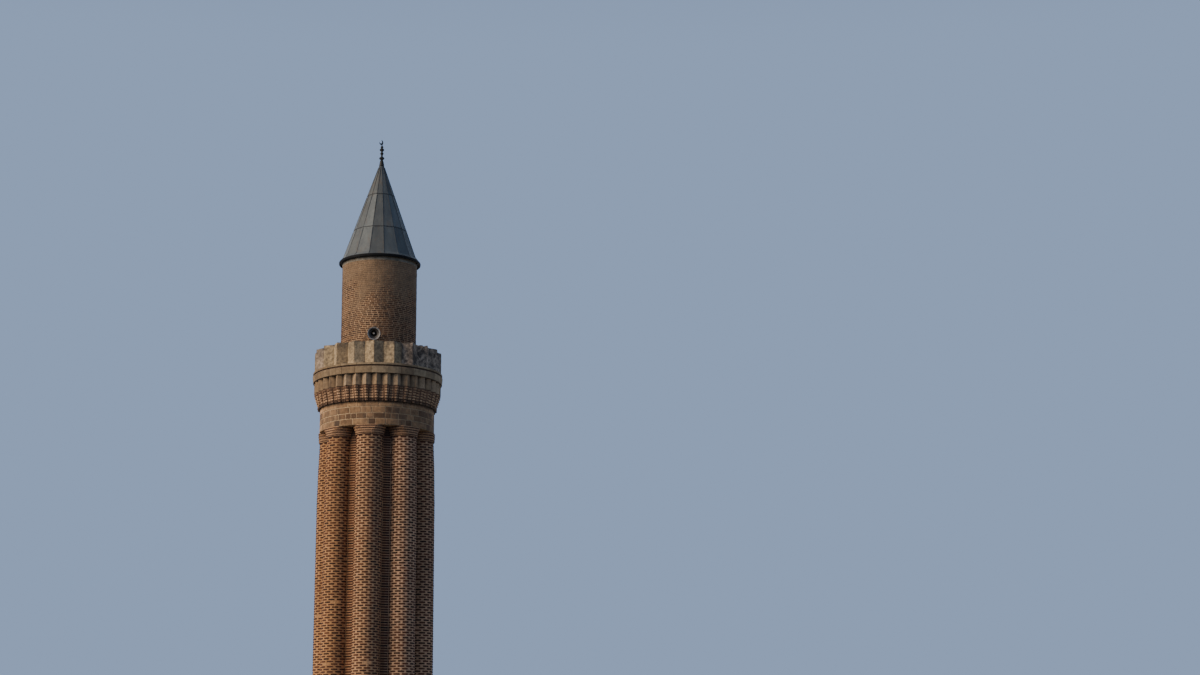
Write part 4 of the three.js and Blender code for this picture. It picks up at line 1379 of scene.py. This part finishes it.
class LayUpperShaft(bpy.types.Operator):
    """Bricks of the upper shaft, the arch of its door and the plain band over it"""
    bl_idname = "minaret.lay_upper_shaft"
    bl_label = "Upper shaft bricks"

    def execute(self, context):
        brick = context.scene.minaret.brick
        dress(finish_named("upper mortar"), "upper_shaft")
        blocks = Blocks(71)
        wall = round_wall(UPPER_RADIUS)
        around = 2 * math.pi * UPPER_RADIUS
        jamb, door_head, gap = 0.14, 0.62, 0.014
        bed, joint, spread = 0.010, 0.021, 0.14
        rows = round((UPPER_HIGH - FLOOR_HIGH) / brick.upper_course)
        step = (UPPER_HIGH - FLOOR_HIGH) / rows
        door_half = GALLERY_DOOR_WIDTH / 2 + jamb
        door_rows = round((GALLERY_DOOR_SPRING + door_head - FLOOR_HIGH) / step)
        for row in range(rows):
            low = FLOOR_HIGH + row * step + bed
            half_brick = (row % 2) * brick.upper_length / 2
            if row < door_rows:
                start = around / 2 + door_half
                end = 3 * around / 2 - door_half
                ends = blocks.cuts(start + half_brick, end - half_brick, brick.upper_length, spread)
                if half_brick:
                    ends = [start] + ends + [end]
            else:
                start = around / 2 + half_brick
                ends = blocks.cuts(start, start + around, brick.upper_length, spread)
            for left, right in between(ends, gap):
                proud = 0.005 + blocks.random.uniform(-0.002, 0.004)
                high = low + step - joint
                blocks.brick(wall, left, right, low, high, BRICK_BACK, proud, columns=2)

        def behind(along, height, out):
            """The same wall, counted from the middle of the back."""
            return wall(along + around / 2, height, out)
        blocks.arch_frame(
            behind, GALLERY_DOOR_WIDTH, FLOOR_HIGH, GALLERY_DOOR_SPRING, ring=0.11, half=door_half,
            top=FLOOR_HIGH + door_rows * step, out=0.014, depth=0.09, course=0.16)
        blocks.piece("upper_shaft_bricks", finish_named("upper brick"), "upper_brick")
        self.lay_band()
        return {"FINISHED"}

    def lay_band(self):
        """One course of smooth stones under the eaves."""
        dress(finish_named("stone mortar"), "upper_band")
        band = Blocks(72)
        for left, right in band.around(BAND_RADIUS, 0.1, 0.46, 0.1, 0.003):
            band.brick(
                round_wall(BAND_RADIUS), left, right, UPPER_HIGH + 0.004, BAND_HIGH - 0.004, STONE_BACK,
                0.004, columns=4, bevel=0.005)
        band.piece("upper_band_stones", finish_named("band stone"), "carved_stone")


class HangDoors(bpy.types.Operator):
    """Planks, straps and ring pulls of the two closed doors"""
    bl_idname = "minaret.hang_doors"
    bl_label = "Doors"

    def execute(self, context):
        dress(finish_named("door timber"), "entrance_door", "gallery_door")
        self.hang(
            "entrance", 8, flat_wall(0, ENTRANCE_LEAF_OUT), ENTRANCE_WIDTH, PLINTH_TOP,
            ENTRANCE_SPRING)
        self.hang(
            "gallery", 7, flat_wall(180, GALLERY_LEAF_OUT), GALLERY_DOOR_WIDTH, FLOOR_HIGH,
            GALLERY_DOOR_SPRING)
        return {"FINISHED"}

    def hang(self, name, seed, wall, width, sill, spring):
        """The planks and the iron of one door."""
        clear, gap, plank = 0.012, 0.003, 0.16
        planks = Blocks(seed)
        shape = inset(arch_outline(width, sill, spring), clear)
        count = round(width / plank)
        ends = [lerp(-width / 2, width / 2, i / count) for i in range(count + 1)]
        for left, right in between(ends, gap):
            board = clip(rectangle(left, right, sill, spring + width), shape)
            planks.stone(wall, board, -0.01, 0.014, bevel=0.005)
        planks.piece(f"{name}_door_planks", finish_named("door timber"), "timber")
        iron = Blocks(7)
        half = width / 2 - 0.03
        tip, pull = half * 0.8, half * 0.72
        studs, stud_margin, stud_radius, strap = 7, 0.04, 0.010, 0.05
        for share in (0.15, 0.55, 0.97):
            height = lerp(sill, spring, share)
            iron.stone(wall, rectangle(-half, tip, height, height + strap), 0.010, 0.022, bevel=0.003)
            for k in range(studs):
                along = lerp(-half + stud_margin, tip - stud_margin, k / (studs - 1))
                stud = disc(along, height + strap / 2, stud_radius, 8)
                iron.stone(wall, stud, 0.020, 0.030, bevel=0.003)
        self.ring_pull(iron, wall, pull, lerp(sill, spring, 0.46))
        iron.piece(f"{name}_door_iron", finish_named("dark iron"), "bracket_steel")

    def ring_pull(self, iron, wall, along, height):
        """A round plate with an iron ring that hangs from its middle."""
        plate, radius, rod, out = 0.035, 0.045, 0.007, 0.028
        middle = height - plate
        iron.stone(wall, disc(along, height, plate, 12), 0.012, 0.019, bevel=0.002)

        def face_on(x, y, z):
            """Lays the ring flat against the door."""
            return wall(along + x, middle + y, out + z)
        iron.turned(disc(radius, 0.0, rod, 6), 20, face_on)


class DressRoof(bpy.types.Operator):
    """Lead sheets in three tiers with standing seams and hems, over the eaves lip"""
    bl_idname = "minaret.dress_roof"
    bl_label = "Lead roof"

    def execute(self, context):
        metal = context.scene.minaret.metal
        lead = finish_named("roof lead")
        dress(lead, "cone_roof")
        tiers = (EAVES_HIGH, metal.first_lap, metal.second_lap, CONE_HIGH - 0.02)
        pitch = 360 / GORES
        sheets = Blocks(81)
        seams = Blocks(82)
        for gore in range(GORES):
            edge = FIRST_GORE + gore * pitch
            for tier, (low, high) in enumerate(zip(tiers, tiers[1:])):
                self.lay_sheet(sheets, edge, pitch, low, high, tier)
                self.fold_seam(seams, edge, low, high, metal)
                if tier:
                    self.fold_welt(seams, edge, pitch, low)
        sheets.piece("roof_sheets", lead, "lead")
        # seams and welts are in darker lead, a painted shadow beside them
        seams.piece("roof_seams", finish_named("seam lead"), "lead")
        self.roll_lip()
        return {"FINISHED"}

    def roll_lip(self):
        """The rolled lip under the lowest sheets, in near-black lead that is partly dark lead and partly
        painted shadow under the eaves.
        """
        inner = 1.02
        lip = Blocks()
        lip.turned([
            (inner, BAND_HIGH + 0.001), (EAVES_RADIUS - 0.060, BAND_HIGH + 0.001),
            (EAVES_RADIUS - 0.056, BAND_HIGH - 0.034), (EAVES_RADIUS - 0.034, BAND_HIGH - 0.044),
            (EAVES_RADIUS - 0.008, BAND_HIGH - 0.032), (EAVES_RADIUS + 0.002, BAND_HIGH - 0.006),
            (EAVES_RADIUS + 0.002, BAND_HIGH + 0.030), (EAVES_RADIUS - 0.010, BAND_HIGH + 0.052),
            (CONE_FOOT + 0.008, EAVES_HIGH + 0.006), (inner, EAVES_HIGH - 0.001)], 96)
        piece = lip.piece("eaves_lip", finish_named("eaves lead"), "lead", 35)
        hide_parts("eaves_ring")

    def radius(self, height):
        """Radius of the cone's arrises at a height, with a hollow curve under the knee."""
        hollow = 0.072
        if height <= KNEE_HEIGHT:
            t = (height - EAVES_HIGH) / (KNEE_HEIGHT - EAVES_HIGH)
            return lerp(CONE_FOOT, KNEE_RADIUS, t) - hollow * t * (1 - t)
        return lerp(KNEE_RADIUS, CONE_HEAD, (height - KNEE_HEIGHT) / (CONE_HIGH - KNEE_HEIGHT))

    def lay_sheet(self, sheets, edge, pitch, low, high, tier):
        """One dented sheet of one gore, lapped over the sheet below."""
        columns, rows = 4, 10
        depth, rest, lap, dent, gap = 0.02, 0.002, 0.012, 0.010, 0.004
        points = []
        seed = edge * 0.37 + tier * 5.1
        half = math.radians(pitch / 2)
        for rise, back, t in sheet_grid(columns, rows):
            height = lerp(low, high, rise)
            size = self.radius(height)
            along = (2 * t - 1) * (size * math.sin(half) - gap)
            sunk = dent * noise.noise(Vector((t * 2.0, height * 1.4, seed))) * (1 - abs(2 * t - 1))
            out = -depth if back else rest + lap * (1 - rise) + sunk
            points.append(flat_wall(edge + pitch / 2, size * math.cos(half))(along, height, out))
        sheets.stack(points, 2 * columns + 2, sheets.random.random(), columns)

    def fold_welt(self, seams, edge, pitch, low):
        """The rolled hem of one sheet where it laps the sheet below, in the darker seam lead that
        paints a shadow line at the lap.
        """
        rise, gap = 0.014, 0.006
        half = math.radians(pitch / 2)
        size = self.radius(low)
        wall = flat_wall(edge + pitch / 2, size * math.cos(half))
        reach = size * math.sin(half) - gap
        seams.brick(
            wall, -reach, reach, low - rise, low + rise, back=-0.010, front=0.020, columns=2,
            bevel=0.006)

    def fold_seam(self, seams, edge, low, high, metal):
        """A rounded standing seam up one arris of one tier."""
        section = [(-0.5, -0.4), (-0.5, 0.55), (-0.2, 1.0), (0.2, 1.0), (0.5, 0.55), (0.5, -0.4)]
        rows, foot, head, widest = 8, 0.01, 0.05, 0.25
        right = polar(1, edge + 90)
        points = []
        for k in range(rows + 1):
            height = lerp(low + foot, high - head, k / rows)
            size = self.radius(height)
            width = min(metal.seam_width, widest * size)
            for across, out in section:
                spot = polar(size + out * metal.seam_height, edge) + right * across * width
                points.append((*spot, height))
        seams.stack(points, len(section), seams.random.random())


class SetFinial(bpy.types.Operator):
    """Turned finial and the crescent on its tip"""
    bl_idname = "minaret.set_finial"
    bl_label = "Finial and crescent"

    def execute(self, context):
        metal = finish_named("finial metal")
        rod, ridge, ridge_half, step = 0.040, 0.003, 0.002, 14.5
        foot = CONE_HIGH
        profile = [
            (0.0, foot - 0.01), (0.102, foot - 0.01), (0.106, foot + 0.01), (0.101, foot + 0.03),
            (0.092, foot + 0.09), (0.080, foot + 0.16), (0.064, foot + 0.22), (0.046, foot + 0.255)]
        for height, radius, half in (
                (37.277, 0.104, 0.068), (37.475, 0.070, 0.056), (37.632, 0.090, 0.070),
                (37.745, 0.058, 0.042)):
            for k in range(-6, 7):
                turn = math.radians(k * step)
                size = max(rod, radius * math.cos(turn))
                if k:
                    profile.append((size, height + half * math.sin(turn)))
                else:
                    profile += [
                        (size, height - ridge), (size + ridge, height - ridge_half),
                        (size + ridge, height + ridge_half), (size, height + ridge)]
        profile += [(0.016, FINIAL_HIGH), (0.0, FINIAL_HIGH)]
        finial = Blocks()
        finial.turned(profile, 32)
        piece = finial.piece("finial_turned", metal, "finial_metal", 40)
        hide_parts("finial")
        moon = Blocks()
        self.bend_moon(moon)
        piece = moon.piece("crescent_moon", metal, "finial_metal", 40)
        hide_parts("crescent")
        return {"FINISHED"}

    def bend_moon(self, moon):
        """A crescent of lens section that leans as it opens upwards, on a short stem."""
        outer, inner, rise, turn, lean = 0.112, 0.080, 0.050, 54.0, -44.0
        aside, thickness, thinnest = 0.045, 0.016, 0.001
        centre = FINIAL_HIGH + 0.03 + math.sqrt(outer ** 2 - aside ** 2)
        tip = math.degrees(math.acos((rise ** 2 + outer ** 2 - inner ** 2) / (2 * rise * outer)))
        steps, sides = 36, 10
        across = polar(1, turn + 90)
        normal = polar(1, turn)
        points = []
        for i in range(steps + 1):
            angle = math.radians(lerp(tip, 360 - tip, i / steps))
            ray = Vector((math.sin(angle), math.cos(angle)))
            near = rise * ray.y + math.sqrt(max(inner ** 2 - (rise * ray.x) ** 2, 0.0))
            ray.rotate(Matrix.Rotation(math.radians(-lean), 2))
            near = min(near, outer - thinnest)
            middle, half = (outer + near) / 2, (outer - near) / 2
            for x, y in disc(0.0, 0.0, 1.0, sides):
                reach = middle + half * x
                spot = across * (ray.x * reach - aside) + normal * min(half, thickness) * y
                points.append((*spot, centre + ray.y * reach))
        moon.stack(points, sides, 0.5)
        moon.turned([
            (0.0, FINIAL_HIGH - 0.005), (0.026, FINIAL_HIGH - 0.005), (0.018, FINIAL_HIGH + 0.02),
            (0.020, FINIAL_HIGH + 0.055), (0.0, FINIAL_HIGH + 0.06)], 16)


class HangLoudspeaker(bpy.types.Operator):
    """Horn loudspeaker with its driver, reflector and bracket"""
    bl_idname = "minaret.hang_loudspeaker"
    bl_label = "Loudspeaker"

    def execute(self, context):
        dress(finish_named("dark iron"), "loudspeaker_bracket")
        mouth = polar(HORN_OUT, HORN_ANGLE)
        aim = Matrix.Translation((*mouth, HORN_HEIGHT))
        aim @= Matrix.Rotation(math.radians(HORN_ANGLE), 4, "Z")
        aim @= Matrix.Rotation(math.radians(90 + HORN_DROOP), 4, "X")

        def place(x, y, z):
            return tuple(aim @ Vector((x, y, z)))
        outside = [
            (0.062, -0.286), (0.067, -0.245), (0.078, -0.200), (0.092, -0.155), (0.112, -0.110),
            (0.138, -0.074), (0.172, -0.044), (0.210, -0.022), (0.243, -0.010)]
        lip = [(0.250, -0.010), (0.254, -0.004), (0.250, 0.002), (0.240, 0.001)]
        inside = [
            (0.204, -0.016), (0.166, -0.040), (0.131, -0.072), (0.105, -0.112), (0.085, -0.158),
            (0.071, -0.204), (0.060, -0.245), (0.054, -0.268)]
        lining = [(radius - 0.003, height + 0.004) for radius, height in inside]
        driver = [
            (0.0, -0.395), (0.060, -0.395), (0.073, -0.385), (0.076, -0.370), (0.076, -0.352),
            (0.070, -0.348), (0.070, -0.338), (0.076, -0.334), (0.076, -0.302), (0.066, -0.288),
            (0.0, -0.288)]
        reflector = [
            (0.0, -0.287), (0.053, -0.287), (0.053, -0.262), (0.024, -0.262), (0.022, -0.120),
            (0.058, -0.092), (0.064, -0.080), (0.060, -0.066), (0.044, -0.050), (0.020, -0.040),
            (0.0, -0.038)]
        tip = [(0.0, -0.060), (0.026, -0.060), (0.026, -0.042), (0.020, -0.035), (0.0, -0.033)]
        for name, finish, profile, steps in (
                ("horn_bell", "horn paint", outside + lip + inside, 64),
                # the throat lining is painted shade inside the bell
                ("horn_throat", "horn throat", inside[::-1] + lining, 64),
                ("horn_driver", "horn paint", driver, 48),
                ("horn_reflector", "horn core", reflector, 48),
                ("horn_tip", "pale enamel", tip, 24)):
            blocks = Blocks()
            blocks.turned(profile, steps, place)
            piece = blocks.piece(name, finish_named(finish), "horn_metal", 40)
            if name == "horn_bell":
                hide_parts("loudspeaker_horn")
        return {"FINISHED"}


class SetStudio(bpy.types.Operator):
    """Pale floor, soft light and the camera"""
    bl_idname = "minaret.set_studio"
    bl_label = "Studio"

    def execute(self, context):
        studio = context.scene.minaret.studio
        floor = bpy.data.meshes.new("studio_floor")
        reach = 2500.0
        corners = [(x, y, 0) for x, y in rectangle(-reach, reach, -reach, reach)]
        floor.from_pydata(corners, [], [(0, 1, 2, 3)])
        floor.materials.append(floor_finish("studio floor", studio.floor))
        ground = bpy.data.objects.new("studio_floor", floor)
        context.scene.collection.objects.link(ground)
        ground.visible_diffuse = False
        self.set_surround(context, studio)
        side = math.degrees(studio.camera_side)
        for name, heading, rise, power, size, colour in (
                ("soft_key", side - 70, 24, studio.key_power, 42, (1.0, 0.80, 0.60)),
                ("back_fill", side + 180, 32, studio.back_power, 60, (0.9, 0.95, 1.0))):
            self.set_light(context, name, heading, rise, power, size, colour)
        self.set_camera(context, studio, side)
        return {"FINISHED"}

    def set_surround(self, context, studio):
        """An even blue-grey surround, darker overhead and under the horizon."""
        world = bpy.data.worlds.new("studio surround")
        world.use_nodes = True
        nodes = Nodes(world.node_tree)
        rise = nodes.rise(nodes.add("ShaderNodeTexCoord").outputs["Generated"])
        half = nodes.sums("ADD", nodes.sums("MULTIPLY", rise, 0.5), 0.5)
        colour = nodes.ramp(
            half, (0.46, studio.below), (0.485, studio.horizon), (0.67, studio.horizon),
            (0.80, studio.zenith))
        nodes.feed(world.node_tree.nodes["Background"].inputs["Color"], colour)
        context.scene.world = world

    def set_light(self, context, name, heading, rise, power, size, colour):
        """A far soft light: its heading and rise in degrees, its apparent size too."""
        light = bpy.data.lights.new(name, "SUN")
        light.energy = power
        light.color = colour
        light.angle = math.radians(size)
        lamp = bpy.data.objects.new(name, light)
        aim = Vector((*polar(1, heading), math.tan(math.radians(rise))))
        lamp.rotation_euler = aim.to_track_quat("Z", "Y").to_euler()
        context.scene.collection.objects.link(lamp)

    def set_camera(self, context, studio, side):
        """The photograph's viewing angle: below the gallery, with the tower left of the middle."""
        yaw, pitch, roll = (math.radians(a) for a in (5.555, 12.648, -0.192))
        level = math.cos(pitch)
        forward = Vector((math.sin(yaw) * level, math.cos(yaw) * level, math.sin(pitch)))
        right = Vector((math.cos(yaw), -math.sin(yaw), 0))
        up = right.cross(forward)
        axes = Matrix((
            right * math.cos(roll) + up * math.sin(roll),
            up * math.cos(roll) - right * math.sin(roll), -forward)).transposed()
        spin = Matrix.Rotation(math.radians(side), 3, "Z")
        lens = bpy.data.cameras.new("camera")
        lens.lens = studio.camera_lens
        lens.sensor_width = 36
        lens.clip_end = 2000
        camera = bpy.data.objects.new("camera", lens)
        spot = Vector((*polar(studio.camera_distance, side), studio.camera_height))
        camera.matrix_world = Matrix.Translation(spot) @ (spin @ axes).to_4x4()
        context.scene.collection.objects.link(camera)
        context.scene.camera = camera


OPERATORS = (
    SetStudio, LayBase, LayDrum, LayShaft, LayNeck, LayCorbel, LayGallery, SetParapet,
    LayUpperShaft, HangDoors, DressRoof, SetFinial, HangLoudspeaker)


class MinaretPanel(bpy.types.Panel):
    """Lists the pieces of the minaret and their settings"""
    bl_idname = "VIEW3D_PT_minaret"
    bl_label = "Minaret"
    bl_space_type = "VIEW_3D"
    bl_region_type = "UI"
    bl_category = "Minaret"

    def draw(self, context):
        for operator in OPERATORS:
            self.layout.operator(operator.bl_idname)
        settings = context.scene.minaret
        for group in (settings.brick, settings.stone, settings.metal, settings.studio):
            box = self.layout.box()
            for name in group.__annotations__:
                box.prop(group, name)


CLASSES = (
    BrickSettings, StoneSettings, MetalSettings, StudioSettings, MinaretSettings,
    *OPERATORS, MinaretPanel)


def register():
    for cls in CLASSES:
        bpy.utils.register_class(cls)
    bpy.types.Scene.minaret = PointerProperty(type=MinaretSettings)


def unregister():
    del bpy.types.Scene.minaret
    for cls in reversed(CLASSES):
        bpy.utils.unregister_class(cls)


def main():
    register()
    for operator in OPERATORS:
        name = operator.bl_idname.split(".")[1]
        if getattr(bpy.ops.minaret, name)() != {"FINISHED"}:
            raise RuntimeError(f"{name} didn't finish")


if __name__ == "__main__":
    main()
